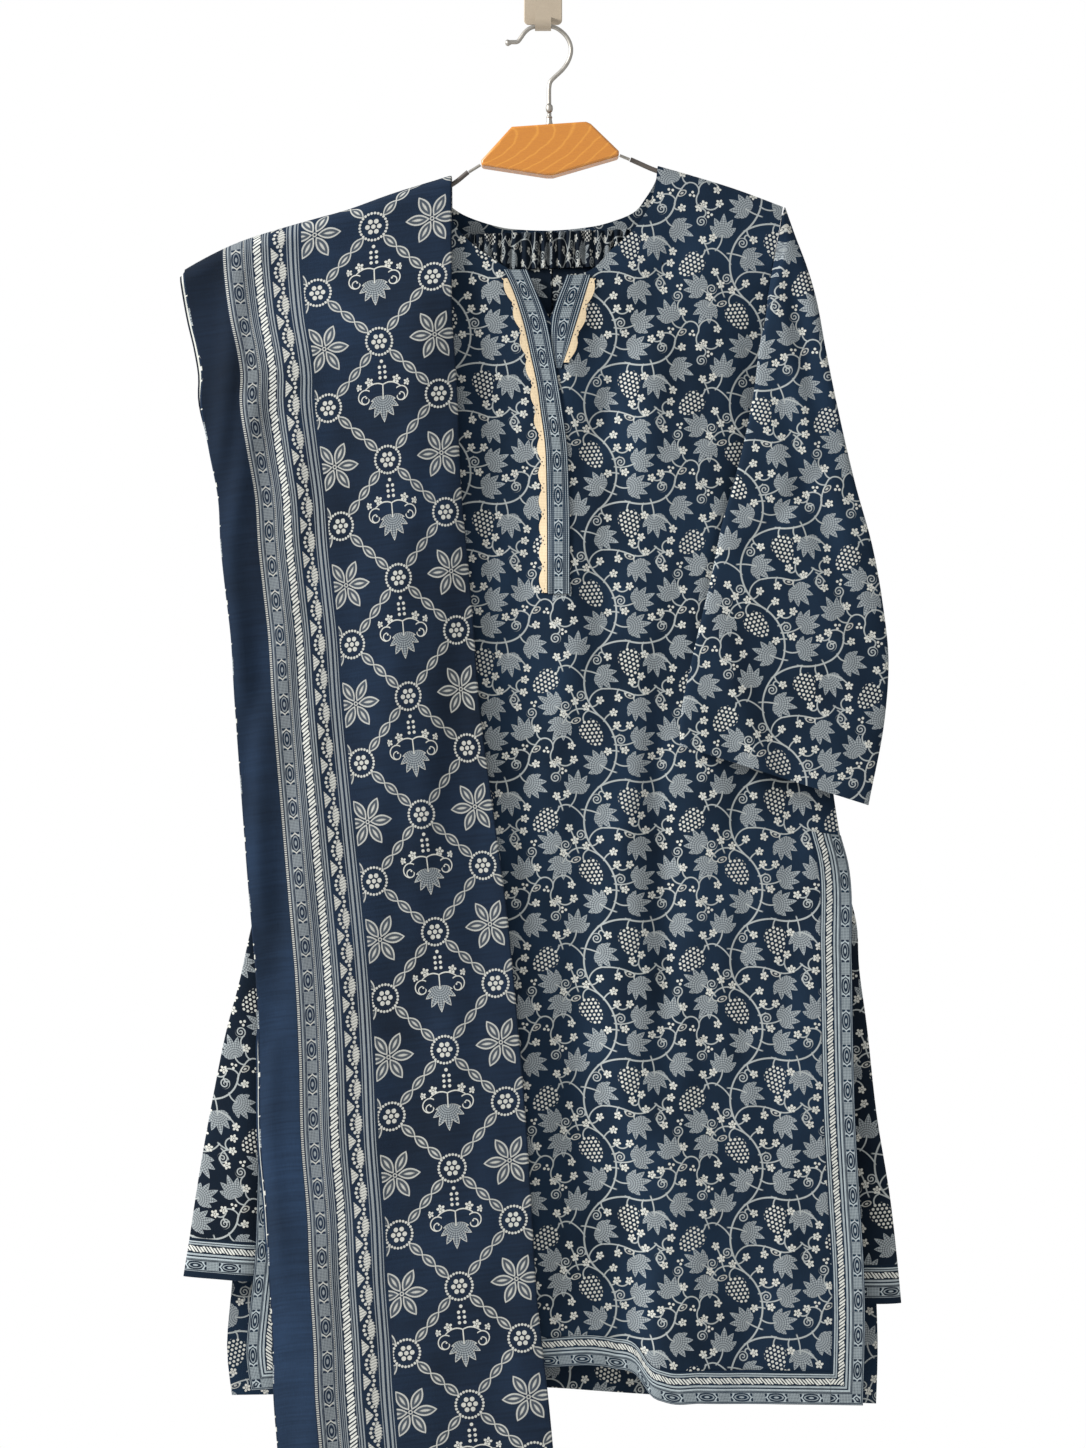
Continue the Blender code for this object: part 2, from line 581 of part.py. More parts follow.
def armhole_edge(side, tip):
    """x of the panels' edge down an armhole, straight from row to row as they are."""
    start = tip + ROW_STEP_END
    hem = FRONT_HEM[-1][1] if side > 0 else FRONT_HEM[0][1]
    drops = [tip + step for step in TOP_STEPS]
    drops += [start + share * (hem - start) for share in FRONT_ROWS]
    at = curve(SIDES, 2 if side > 0 else 1)(np.array(drops))
    return lambda drop: np.interp(drop, drops, at)


def sleeve(name, inner, outer, half, tip, armpit, hems, side):
    """A flattened tube, cut in one piece. Its rows run from the armhole's front edge, or from the
    underarm seam below it, forward to the inner fold, over the front to the outer edge, and round
    the back to the seam again."""
    edge = armhole_edge(side, tip)
    inner_x, inner_y, outer_x, outer_y = curve(inner), curve(inner, 2), curve(outer), curve(outer, 2)
    thick = curve(half)
    fronts = (1 - np.cos(np.radians((0, *SLEEVE_TURN)))) / 2
    rows = [(tip + share * (armpit - tip), 0.0) for share in ARMHOLE_SHARES]
    rows += [(armpit + share * (hems[0] - armpit), share) for share in SLEEVE_SHARES]
    grid = []
    for drop, below in rows:
        raised = ARCH * (1 - ease(0, 26, drop - rows[0][0]))
        outer_drop = drop - raised + below * (hems[1] - hems[0])
        near, far = inner_x(drop), outer_x(outer_drop)
        near_y, far_y = inner_y(drop), outer_y(outer_drop)
        armhole_x = edge(min(drop, armpit)) + side * ARMHOLE_CLEAR
        across = UNDERARM[0] + below * (UNDERARM[1] - UNDERARM[0])
        seam_x = near + across * (far - near)
        seam_x += (armhole_x - seam_x) * (1 - ease(0, 0.3, below))
        seam_share = np.clip((seam_x - near) / (far - near), 0, 1)
        share = np.concatenate([
            seam_share * UNDER_SHARES, fronts,
            1 - fronts[1:] * (1 - seam_share),
        ])
        middle = near_y + share * (far_y - near_y)
        swell = thick(drop) * (4 * share * (1 - share)) ** 0.3
        seam_y = middle[0] + swell[0]
        tuck = ease(0, 10, side * (seam_x - near))
        if below > 0:
            top_y = HUNG_Y - SEAM_HALF - UNDER_FORWARD
            front_y = back_y = seam_y + (top_y - seam_y) * (1 - ease(0, 0.06, below))
        else:
            off = SEAM_HALF + armhole(drop, tip, armpit) * (1 - np.exp((tip - drop) / SHOULDER_ROUND))
            front_y, back_y = HUNG_Y - off - UNDER_FORWARD * tuck, HUNG_Y + off
        gap = side * 0.25 * (drop >= armpit)
        under_x = near + UNDER_SHARES * (seam_x - gap - near)
        front_x = near + fronts * (far - near)
        back_x = far + fronts[1:] * (seam_x + gap - far)
        settle = min(28, 0.8 * abs(far - seam_x))
        pulled = (back_y - seam_y) * (1 - ease(0, settle, np.abs(back_x - seam_x)))
        count = len(under_x), len(under_x) + len(front_x)
        under_y = middle[:count[0]] + tuck * swell[:count[0]]
        under_y += (front_y - under_y[0]) * UNDER_SHARES ** (UNDER_PULL[0] + UNDER_PULL[1] * tuck)
        x = np.concatenate([under_x, front_x, back_x])
        y = np.concatenate([under_y, (middle - swell)[count[0]:count[1]],
                            (middle + swell)[count[1]:] + pulled])
        flat = points(x, y, drop + share * (outer_drop - drop))
        turn = np.linspace(0, np.pi, len(x))
        arch = points(
            seam_x + (far - seam_x) * np.sin(turn),
            HUNG_Y + (front_y - HUNG_Y) * np.cos(turn) + (far_y - HUNG_Y) * np.sin(turn),
            drop + (outer_drop - drop) * np.sin(turn),
        )
        flattened = ease(*ARCH_FADE, drop - rows[0][0])
        grid.append(arch + flattened * (flat - arch))
    wall(name, np.array(grid), CLOTH, NAVY)


def sleeves():
    sleeve("sleeve_left", LEFT_INNER, LEFT_OUTER, LEFT_HALF, TIP_LEFT[1], ARMPIT_LEFT,
           SLEEVE_HEMS["left"], 1)
    sleeve("sleeve_right", RIGHT_INNER, RIGHT_OUTER, RIGHT_HALF, TIP_RIGHT[1], ARMPIT_RIGHT,
           SLEEVE_HEMS["right"], -1)


# ---- the salwar ----

def waistband():
    """A flattened ring whose wall zigzags in gathers, two points to a gather."""
    count = 2 * GATHERS
    turn = np.arange(count) * 2 * np.pi / count
    middle, half = sum(WAIST_X) / 2, (WAIST_X[1] - WAIST_X[0]) / 2
    share = 2 * np.abs((turn / np.pi + 0.5) % 2 - 1) - 1
    flat = np.sqrt(np.clip(1 - np.abs(share) ** 4, 0, 1))
    front = np.where(np.cos(turn) > 0, -1, 1)
    gather = GATHER_HALF * np.where(np.arange(count) % 2, 1, -1) * np.clip(3 * flat, 0, 1)
    x = middle + share * half
    y = WAIST_Y + front * (SEAM_HALF + BAND_HALF * flat) + gather
    top = WAIST_DROP[0] + (x - WAIST_X[0]) / (WAIST_X[1] - WAIST_X[0]) * (WAIST_DROP[1] - WAIST_DROP[0])
    rows = [points(x, y, top + BAND_HEIGHT * share_down) for share_down in (0, 0.5, 1)]
    wall("salwar_waistband", np.array(rows), CLOTH, NAVY, ring=True)


def leg(name, table, hems):
    """A leg cut in one piece: it runs from the centre front round the outer side to the centre back,
    and below the crotch its two edges meet at the inseam."""
    share = np.array(LEG_ACROSS + LEG_ACROSS[-2::-1])
    face = np.array([-1] * (len(LEG_ACROSS) - 1) + [0] + [1] * (len(LEG_ACROSS) - 1))
    outer, inner = curve(table, 1), curve(table, 2)
    outer_hem, inner_hem = hems
    hem = inner_hem + share * (outer_hem - inner_hem)
    start_x = inner(240) + share * (outer(240) - inner(240))
    slope = (WAIST_DROP[1] - WAIST_DROP[0]) / (WAIST_X[1] - WAIST_X[0])
    top = WAIST_DROP[0] + (start_x - WAIST_X[0]) * slope + BAND_HEIGHT + GAP
    down = np.linspace(0, 1, LEG_ROWS)[:, None]
    drop = top + down * (hem - top)
    x = inner(drop) + share * (outer(drop) - inner(drop))
    own = ease(*CROTCH, drop)
    closing = 1 - own * (1 - np.sqrt(1 - (1 - share) ** 8))
    half = LEG_HALF * np.sqrt(1 - share**6) * closing + SEAM_HALF * own * (share < 0.01)
    in_seam = share**4 * (1 - ease(SLIT_DROP, SLIT_DROP + 110, drop))
    middle = LEG_Y + (HUNG_Y - LEG_Y) * in_seam
    fold = LEG_FOLD_HALF * ease(300, 900, drop) * (1 - in_seam) * np.sin(2 * np.pi * x / LEG_FOLD_PITCH)
    wall(name, points(x, middle + face * half + fold, drop), CLOTH, NAVY)


def salwar():
    waistband()
    leg("salwar_leg_left", LEFT_LEG, LEG_HEMS["left"])
    leg("salwar_leg_right", RIGHT_LEG, LEG_HEMS["right"])


# ---- the dupatta ----

def dupatta_side(side, end, rest, rows, lift, reach):
    """A stretch of the dupatta, from the top of the shoulder down: side is -1 for the front. lift is
    its middle surface's distance from the inner face of the plies, reach widens its outer edge."""
    outer, inner = curve(DUPATTA_EDGES, 1), curve(DUPATTA_EDGES, 2)
    rest_y = curve(rest)
    share = np.linspace(0, 1, DUPATTA_ACROSS)
    widened = np.clip(1 - share * (DUPATTA_ACROSS - 1) / 2, 0, 1)

    def across(drop):
        shown = reach * (1 - ease(300, 420, drop)) - PLY_TUCK * (reach > 0)
        return outer(drop) + share * (inner(drop) - outer(drop)) - shown * widened

    crest = curve(RIDGE_TOP)(across(200.0)) + PLIES + PLY_GAP + CLOTH
    last = end[0] + share * (end[1] - end[0])
    grid = []
    for turn in np.radians(FOLD_TURNS):
        spread = FOLD_ROUND + lift
        drop = crest + FOLD_ROUND - spread * math.cos(turn)
        grid.append(points(across(drop), HUNG_Y + side * (GAP + spread * math.sin(turn)), drop))
    start = crest + FOLD_ROUND
    fall = HUNG_Y + side * (GAP + FOLD_ROUND)
    for down in rows:
        drop = start + down * (last - start)
        x = across(drop)
        goal = rest_y(drop)
        if side < 0:
            over = (1 - ease(-112, -60, x)) * ease(215, 330, drop) * (1 - ease(765, 900, drop))
            goal = goal - SLEEVE_LIFT * over
        settled = ease(0, 110, drop - start)
        grid.append(points(x, fall + settled * (goal - fall) + side * lift, drop))
    return np.array(grid)


def dupatta():
    front_rows = np.linspace(0.03, 1, 18)
    back_rows = np.linspace(0.04, 1, 10)
    for name, side, end, rest, rows in (
        ("front", -1, DUPATTA_END, FRONT_REST, front_rows),
        ("back", 1, DUPATTA_BACK_END, BACK_REST, back_rows),
    ):
        plies = dupatta_side(side, end, rest, rows, PLIES / 2, PLY_SHOWS)
        wall(f"dupatta_{name}_plies", plies, PLIES, BLUE, bulge=PLIES / 3)
        upper = dupatta_side(side, end, rest, rows, PLIES + PLY_GAP + CLOTH / 2, 0)
        wall(f"dupatta_{name}", upper, CLOTH, BLUE)


# ---- the hanger and the wall hook ----

def hanger():
    rod("hanger_hook", smooth_route(HOOK_PATH), NICKEL)
    turned("hanger_bead", BEAD, NECK_X, NICKEL)
    turned("hanger_ferrule", FERRULE, NECK_X, NICKEL)
    slab("hanger_block", BLOCK, HUNG_Y - BLOCK_HALF, HUNG_Y + BLOCK_HALF, WOOD, BLOCK_BEVEL)
    for side, way in (("right", -1), ("left", 1)):
        start, (end_x, end_drop), *rest = ARM_ROUTES[side]
        wire = [(*start, *ARM_WIRE), (end_x - way * ARM_GAP, end_drop, *ARM_WIRE)]
        rod(f"hanger_arm_{side}", wire, NICKEL)
        covered = [(*place, *ARM_SLEEVE) for place in [(end_x, end_drop), *rest]]
        rod(f"arm_sleeve_{side}", covered, DARK)


def smooth_route(path, steps=2):
    """The path's own points and those between them on a smooth curve: x, drop, and radius twice."""
    table = [(i, *row) for i, row in enumerate(path)]
    at = np.linspace(0, len(path) - 1, steps * (len(path) - 1) + 1)
    x, drop, radius = (curve(table, column)(at) for column in (1, 2, 3))
    return np.stack([x, drop, radius, radius], axis=1)


def rounded_plate():
    width, height, _ = PLATE
    outline = []
    for corner_x, corner_drop, start in ((1, -1, 0), (-1, -1, 90), (-1, 1, 180), (1, 1, 270)):
        for step in range(4):
            a = math.radians(start + 30 * step)
            outline.append((
                corner_x * (width / 2 - PLATE_CORNER) + PLATE_CORNER * math.cos(a),
                corner_drop * (height / 2 - PLATE_CORNER) - PLATE_CORNER * math.sin(a),
            ))
    return outline


def wall_hook():
    slab("wall_plate", rounded_plate(), -PLATE[2], 0, BEIGE, 0.5)
    route = [(-PLATE[2] - GAP, TAB_ARM_DROP, TAB_HALF), (HUNG_Y + TAB_ROUND + 3, TAB_ARM_DROP, TAB_HALF)]
    route.append((HUNG_Y + TAB_ROUND + 0.6, TAB_ARM_DROP + 1.2, TAB_HALF))
    for turn in np.radians(np.linspace(0, 180, 13)):
        route.append((HUNG_Y + TAB_ROUND * math.cos(turn), TAB_BEND_DROP + TAB_ROUND * math.sin(turn),
                      TAB_HALF))
    route += TAB_FRONT
    across = np.array([-1, 0, 1])
    grid = np.array([points(half * across, y, drop) for y, drop, half in route])
    wall("wall_tab", grid, TAB_SHEET, BEIGE)


def main():
    for piece in list(bpy.data.objects):
        bpy.data.objects.remove(piece, do_unlink=True)
    wall_hook()
    hanger()
    kameez_body()
    borders()
    neck_strips()
    laces()
    sleeves()
    salwar()
    dupatta()


main()
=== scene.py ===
import math

import bmesh
import bpy
import numpy as np
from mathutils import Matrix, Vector


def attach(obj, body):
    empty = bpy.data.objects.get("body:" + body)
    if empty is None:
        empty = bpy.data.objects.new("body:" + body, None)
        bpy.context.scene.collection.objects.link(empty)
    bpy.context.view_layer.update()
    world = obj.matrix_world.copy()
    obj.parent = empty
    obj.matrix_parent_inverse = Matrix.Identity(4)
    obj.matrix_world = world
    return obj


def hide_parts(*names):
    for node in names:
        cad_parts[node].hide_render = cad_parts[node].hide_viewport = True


# A salwar kameez suit on a hanger. Form tables are in millimetres: x, y and "drop", the depth below
# the origin. They repeat part.py's tables, some with more points or a finer form. Meshes are made
# in metres. Cloth coordinates (the UV map "cloth") are metres on the flat cloth: u across, v along.

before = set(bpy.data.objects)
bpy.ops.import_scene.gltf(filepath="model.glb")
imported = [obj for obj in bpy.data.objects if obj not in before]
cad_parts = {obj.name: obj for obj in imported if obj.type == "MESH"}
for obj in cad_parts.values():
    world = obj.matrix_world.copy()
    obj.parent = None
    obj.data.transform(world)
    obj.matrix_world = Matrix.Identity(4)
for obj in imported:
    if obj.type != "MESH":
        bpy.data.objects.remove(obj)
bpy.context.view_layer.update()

MM = 0.001
CLOTH_MAP = "cloth"
CLOTH = 1.2  # wall of the CAD cloth, whose middle surface the shells follow
THIN = 0.9  # wall of the shells
TRIM = 0.8  # wall of the strips and lace that lie on the cloth
GAP = 0.3  # left between pieces that touch
HUNG_Y = -28.0  # the plane that the hanger hangs in

# ---- the forms ----

NECK_RIGHT, NECK_LEFT = (-92, 173.2), (101, 156)  # x, drop of the shoulder seams' inner ends
TIP_RIGHT, TIP_LEFT = (-195, 209), (211, 192)  # x, drop of the shoulder tips
ARMPIT_RIGHT, ARMPIT_LEFT = 388, 372  # drop
SLIT_DROP = 745  # where the side slits start
SLIT_OPENS = 110  # how far below that the edges hang fully apart
SEAM_HALF = 0.75  # from the hung plane to the middle of a wall that meets its neighbour at a seam
SHOULDER_ROUND = 6.0  # how soon the cloth stands off the shoulder seam
ARMHOLE_OPEN = 6.0  # how far front and back stand from the hung plane below a shoulder tip
SIDES = (  # drop, x of the right edge, x of the left edge, for front and back alike
    (150, -195, 211), (192, -195, 211), (210, -195, 208), (240, -190, 202), (280, -182, 196),
    (320, -177, 192.5), (350, -177, 194), (372, -181, 204), (388, -188, 208.5),
    (432, -199, 217.5), (503, -213, 230.5), (591, -226, 242), (696, -238, 254), (745, -245, 261.5),
)
FRONT_SLITS = (  # the same beside the slits
    (765, -246, 267), (850, -247, 270.5), (915, -248, 271.5), (992, -249, 273.5),
    (1064, -250.5, 277.5), (1122, -253, 281), (1160, -257, 282), (1200, -260, 281.5),
    (1244, -253, 280),
)
BACK_SLITS = (
    (765, -247, 265.5), (847, -254, 275), (962, -261, 283), (1068, -269, 290),
    (1146, -275.5, 294.5), (1200, -279.5, 296), (1250, -274, 294.5),
)
RIGHT_SHOULDER = (  # x, drop between a shoulder tip and just inside the neck
    (-195, 209), (-174, 201.5), (-149, 192), (-114, 180), (-92, 173.2), (-90.5, 179),
)
LEFT_SHOULDER = ((100.4, 161.5), (101, 156), (129, 164), (165, 175), (190, 184), (211, 192))
FRONT_TOP = (  # x, drop along the shoulders, the neck and its notch
    *RIGHT_SHOULDER,
    (-82, 199), (-73, 215), (-55, 231), (-40, 241.5), (-25, 250.5), (-11.5, 255.5), (-3, 273),
    (6, 292), (13, 273), (19.5, 254.5), (32.5, 252), (45.5, 246), (60.5, 230), (72, 220.5),
    (85, 206), (94, 190), (98.5, 174),
    *LEFT_SHOULDER,
)
BACK_TOP = (
    *RIGHT_SHOULDER,
    (-80, 191), (-64, 200), (-38, 208), (-16, 210.5), (8, 211), (33, 209), (55, 205),
    (79.5, 195.5), (91, 182), (99, 168.5),
    *LEFT_SHOULDER,
)
FRONT_CORNERS = (4, 11, 13, 15, 24)  # the points of the front's top where its line turns sharply
BACK_CORNERS = (4, 17)
FRONT_HEM = (  # x, drop: the hem steps down where a fold passes in front
    (-260, 1231), (-125, 1221.5), (-3, 1211), (63, 1213), (86, 1221), (95, 1234), (108, 1240),
    (137, 1241), (282, 1243.5),
)
BACK_HEM = ((-280, 1240.5), (-126, 1238), (0, 1233.5), (92, 1239.5), (296, 1248))
BAG = (  # drop, how far the front stands off the hung plane, how far the back does
    (150, 8, 8), (250, 10, 10.5), (400, 12, 12), (745, 13.5, 13), (900, 15, 13.5), (1250, 16, 12.5),
)
TOP_STEPS = (0, 1.5, 5, 12)  # rows this far below the top edge, round the shoulder
ROW_STEP_END = 24  # the first of the rows that divide what is left
EVEN_BY = 260  # how far below the top edge a panel's columns are evenly spaced
FRONT_ROWS = (0, 0.035, 0.07, 0.1, 0.13, 0.152, 0.172, 0.22, 0.29, 0.37, 0.44, 0.515, 0.57, 0.63,
              0.69, 0.75, 0.81, 0.87, 0.93, 0.972, 1)
BACK_ROWS = (0, 0.035, 0.07, 0.1, 0.13, 0.152, 0.172, 0.22, 0.3, 0.4, 0.515, 0.62, 0.74, 0.87, 1)
SLIT_ROW, HEM_ROW = 0.515, 0.972  # the rows where the slit borders and the hem border start
RIDGE = ((705, 37), (845, 50), (976, 63), (1090, 85), (1225, 92))  # drop, x of the main fold's edge
RIDGE_RISE, RIDGE_SINK = 7.0, 7.5  # how far the cloth stands out past the edge, and back before it
# Single folds: height, half width, the line (its x at a drop, and x for each mm further down), and
# the drops over which it begins and ends
SIDE_FOLD = (3.0, 15, (176, 0, 0), (640, 720), (880, 1010))
CENTRE_FOLD = (4.2, 13, (98, 600, 0.03), (560, 700), (900, 1080))
ARM_FOLD = (3.0, 16, (128, 200, -0.42), (190, 240), (380, 520))
SLEEVE_FOLD = (2.8, 10, (226, 300, 0.16), (240, 290), (420, 520))
LONG_STRIP = (  # the neck strips: drop, x of one edge, x of the other, from the top down
    (248.5, -35, -14), (256, -31, -11), (290, -18.5, 2), (324, -10.5, 9), (350, -5, 13.5),
    (372, -2, 17), (397, 1.5, 20.5), (449, 3.5, 23), (533, 4, 23.5),
)
SHORT_STRIP = ((253, 20.5, 42), (292, 7.5, 30), (316, 7.5, 22.5), (335, 12, 16))
STRIP_STANDOFF = 0.45  # a strip's clearance from the panel
STRIP_FINE, STRIP_ACROSS = 12, 9  # steps between two rows of its table, and points across
STRIP_OVERLAP = (300, 400)  # drop over which the long strip comes down off the short one

# Sleeves: drop, x and y down an edge. The inner edge is a fold that lies in front of the body.
LEFT_INNER = (
    (192, 212.6, -31), (200, 212.2, -34), (230, 207, -37.5), (262, 201, -39), (290, 196, -40),
    (312, 191, -41), (356, 185, -43.5), (416, 172.5, -45.5), (476, 156, -47), (520, 147, -48),
    (562, 137, -49), (597, 129, -50), (648, 120, -50), (666, 120, -50),
)
LEFT_OUTER = (
    (192, 212.8, -28), (204, 217, -28), (217, 221.5, -29.5), (243, 231, -33), (272, 239, -37),
    (316, 247, -40.5), (376, 259, -43), (437, 273, -45), (492, 288, -46), (542, 297, -46),
    (590, 302, -46), (640, 299, -46), (718, 284.5, -46),
)
RIGHT_INNER = (
    (209, -196.6, -31), (217, -196.2, -34), (247, -191, -37), (280, -185, -38.5), (306, -180, -40),
    (328, -175, -41), (372, -168, -43.5), (432, -158, -45.5), (476, -149, -47), (520, -140, -48),
    (570, -129, -48), (620, -119, -48), (662, -112, -48), (690, -110, -48),
)
RIGHT_OUTER = (
    (209, -196.8, -28), (221, -201, -28), (236, -205, -30), (262, -210.5, -34), (310, -217, -40),
    (370, -226, -43), (440, -234, -45), (510, -239, -45), (580, -240, -45), (650, -238, -45),
    (734, -231, -45),
)
LEFT_HALF = ((192, 0.8), (215, 2.5), (250, 6), (300, 7), (700, 7))  # drop, half thickness
RIGHT_HALF = ((209, 0.8), (232, 2.5), (270, 4.5), (700, 4.5))
UNDERARM = (0.47, 0.4)  # how far across the underarm seam lies, below the armpit and at the hem
SLEEVE_HEMS = {"left": (666, 718), "right": (690, 734)}  # drop at the inner and the outer edge
ARMHOLE_SHARES = (0.04, 0.095, 0.16, 0.23, 0.36, 0.52, 0.68, 0.82, 0.92, 1)  # rows down the armhole
ARCH = 7.0  # how much higher the first row passes over the shoulder tip
ARCH_END = 26  # how far below it the rows have lost this rise
ARCH_FADE = (5, 70)  # how far below it the rows turn from an even arch into a flattened tube
SLEEVE_SHARES = (0.035, 0.1, 0.22, 0.38, 0.55, 0.72, 0.88, 1)  # rows from the armpit to the hem
UNDER_SHARES = (1, 0.5, 0.12)  # columns from the seam forward to the inner fold
UNDER_PULL = (1, 1.7)  # power by which they come back to the seam, and what a deep fold adds to it
UNDER_FORWARD = 1.1  # how far in front of the panel's edge a deep fold starts
SLEEVE_TURN = (0, 20, 45, 75, 105, 135, 160, 180)  # degrees from one edge round to the other
ARMHOLE_CLEAR = 0.9  # from a panel's edge to the sleeve's wall, which leans there
SEAM_GAP = 0.25  # at each side of the underarm seam
SETTLE = 28  # how far from its seam the back of the sleeve is pulled towards it

# Salwar
WAIST_Y = -27.6
WAIST_X = (-133, 149)
WAIST_DROP = (219, 210)  # of the top edge at each end of WAIST_X
BAND_HEIGHT = 32
BAND_HALF, GATHER_HALF = 6.2, 2.2  # half thickness of the band, and half depth of its gathers
GATHERS = 70  # round the waist
POINTS_PER_GATHER = 8
GATHERED_CLOTH = 2.4  # mm of cloth in each mm of the band
LEG_COLUMNS, LEG_ROWS = 34, 110  # points from the centre front to the side, and down
LEG_TOP = 240  # drop at which the legs' tables begin
LEG_Y = -25.0
LEG_HALF = 6.5
CROTCH = (480, 600)  # drop over which a leg closes into a tube of its own
LEFT_LEG = (  # drop, x of the outer edge, x of the inner edge
    (240, 148, 8.5), (300, 152, 8.5), (379, 166, 8.5), (503, 190, 8.5), (626, 215, 9),
    (700, 232, 9.5), (745, 250, 10), (793, 268, 10), (820, 275.5, 10), (863, 278.5, 10.5),
    (908, 284.5, 11), (994, 294, 11), (1066, 305.5, 11.5), (1118, 311.5, 12), (1165, 316, 12),
)
RIGHT_LEG = (
    (240, -132, 7.5), (300, -136, 7.5), (379, -150, 7.5), (503, -176, 7.5), (626, -204, 6),
    (700, -222, 4), (745, -235, 3), (790, -247, 2), (824, -256, 1), (874, -267, 0),
    (919, -279, -1), (968, -289, -2), (1022, -299, -2), (1071, -307, -2), (1095, -310.5, -2),
    (1150, -319.5, -2),
)
LEG_HEMS = {"left": (1157, 1163), "right": (1134, 1152)}  # drop at the outer and inner edges
LEG_FOLD_PITCH, LEG_FOLD_HALF = 82.0, 2.2

# Dupatta, folded lengthwise in four
RIDGE_TOP = (  # x, drop of its outer face where it passes over the shoulder
    (-330, 254), (-318, 247.5), (-310, 243), (-271, 224), (-230, 210.5), (-200, 202), (-173, 194.5),
    (-137, 181.5), (-81, 164),
)
DUPATTA_EDGES = (  # drop, x of the outer edge, x of the edge at the neck
    (160, -318, -81), (254, -315, -80.5), (294, -308, -80), (322, -301, -78), (344, -297.5, -76.5),
    (362, -298.5, -75.5), (406, -291.5, -74), (452, -283, -71.5), (489, -281, -68),
    (531, -276.5, -64), (568, -272, -61), (626, -268.5, -56.5), (731, -261, -43),
    (822, -254, -31), (863, -251, -27), (939, -248, -20), (1010, -247, -14.5), (1081, -241, -10),
    (1135, -239, -7), (1194, -236, -1), (1232, -235.5, 3.5), (1279, -232, 8), (1400, -223, 15),
)
DUPATTA_END = (1398, 1380)  # drop of the front end at its outer and inner edges
DUPATTA_BACK_END = (1232, 1214)
PLIES = 3.0  # the CAD's hidden plies together
PLY_GAP = 0.5  # between them and the upper ply
FOLD_ROUND = 11.0  # radius of their inner face over the shoulder
# Drop, y of the plies' inner face on the kameez
FRONT_REST = ((150, -44), (420, -44), (760, -46), (900, -47), (1250, -48), (1400, -48))
BACK_REST = (
    (150, -16), (250, -15.4), (400, -14), (745, -12.9), (900, -12.3), (1250, -12.3),
)
SLEEVE_LIFT = 10.2  # how much further out the dupatta lies over the right sleeve

# How finely the shells divide the CAD's steps
PANEL_FINE = 5
TOP_FINE, ROW_FINE = 3, 9
ARMHOLE_FINE, SLEEVE_FINE, TURN_FINE = 5, 9, 7


# ---- numbers ----

def curve(rows, column=1):
    """A smooth function from a table's first column to another one, level past the ends."""
    at = np.array([row[0] for row in rows], float)
    value = np.array([row[column] for row in rows], float)
    slope = np.gradient(value, at)

    def read(x):
        x = np.clip(x, at[0], at[-1])
        i = np.clip(np.searchsorted(at, x) - 1, 0, len(at) - 2)
        step = at[i + 1] - at[i]
        t = (x - at[i]) / step
        return (
            (1 + 2 * t) * (1 - t) ** 2 * value[i]
            + t * (1 - t) ** 2 * step * slope[i]
            + t * t * (3 - 2 * t) * value[i + 1]
            + t * t * (t - 1) * step * slope[i + 1]
        )

    return read


def ease(low, high, x):
    t = np.clip((x - low) / (high - low), 0, 1)
    return t * t * (3 - 2 * t)


def bump(x, centre, half):
    """A soft hill of height 1."""
    return np.exp(-(((x - centre) / half) ** 2))


def single_fold(x, drop, height, half, line, begins, ends):
    at, level, slope = line
    return height * bump(x - slope * (drop - level), at, half) * ease(*begins, drop) * (
        1 - ease(*ends, drop))


def finer(values, steps):
    """A row of values with steps - 1 more between each two."""
    count = (len(values) - 1) * steps + 1
    return np.interp(np.linspace(0, len(values) - 1, count), np.arange(len(values)), values)


def smooth_outline(outline, corners, steps):
    """An outline of (x, drop) with more points, smooth except at its corners."""
    table = np.array(outline, float)
    pieces = []
    breaks = [0, *corners, len(table) - 1]
    for first, last in zip(breaks[:-1], breaks[1:]):
        rows = [(i, *table[i]) for i in range(first, last + 1)]
        at = np.linspace(first, last, (last - first) * steps + 1)
        x, drop = (curve(rows, 1)(at), curve(rows, 2)(at)) if last > first + 1 else (
            np.interp(at, (first, last), table[[first, last], 0]),
            np.interp(at, (first, last), table[[first, last], 1]),
        )
        piece = np.stack([x, drop], axis=1)
        pieces.append(piece if first == 0 else piece[1:])
    return np.concatenate(pieces)


def points(x, y, drop):
    return np.stack(np.broadcast_arrays(x, y, -np.asarray(drop, float)), axis=-1).astype(float)


def normals(middle, ring=False):
    if ring:
        across = np.roll(middle, -1, axis=1) - np.roll(middle, 1, axis=1)
    else:
        across = np.gradient(middle, axis=1)
    found = np.cross(across, np.gradient(middle, axis=0))
    return found / np.maximum(np.linalg.norm(found, axis=-1, keepdims=True), 1e-9)


def waves(x, drop, seed, longest, shortest, count=5, lean=0.12):
    """A soft uneven field from about -1 to 1: troughs and ridges that run mostly downwards."""
    random = np.random.default_rng(seed)
    total = 0.0
    for i in range(count):
        length = longest * (shortest / longest) ** (i / max(count - 1, 1))
        turn = random.uniform(-lean, lean)
        bend = 0.9 * np.sin(drop / (3.1 * length) + random.uniform(0, 6.28))
        phase = random.uniform(0, 6.28)
        total = total + np.sin(2 * np.pi * (x + turn * drop) / length + bend + phase)
    return total / count * 1.6


# ---- meshes ----

def new_object(name, mesh, replaces=()):
    piece = bpy.data.objects.new(name, mesh)
    bpy.context.scene.collection.objects.link(piece)
    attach(piece, "root")
    for node in replaces:
        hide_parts(node)
    return piece


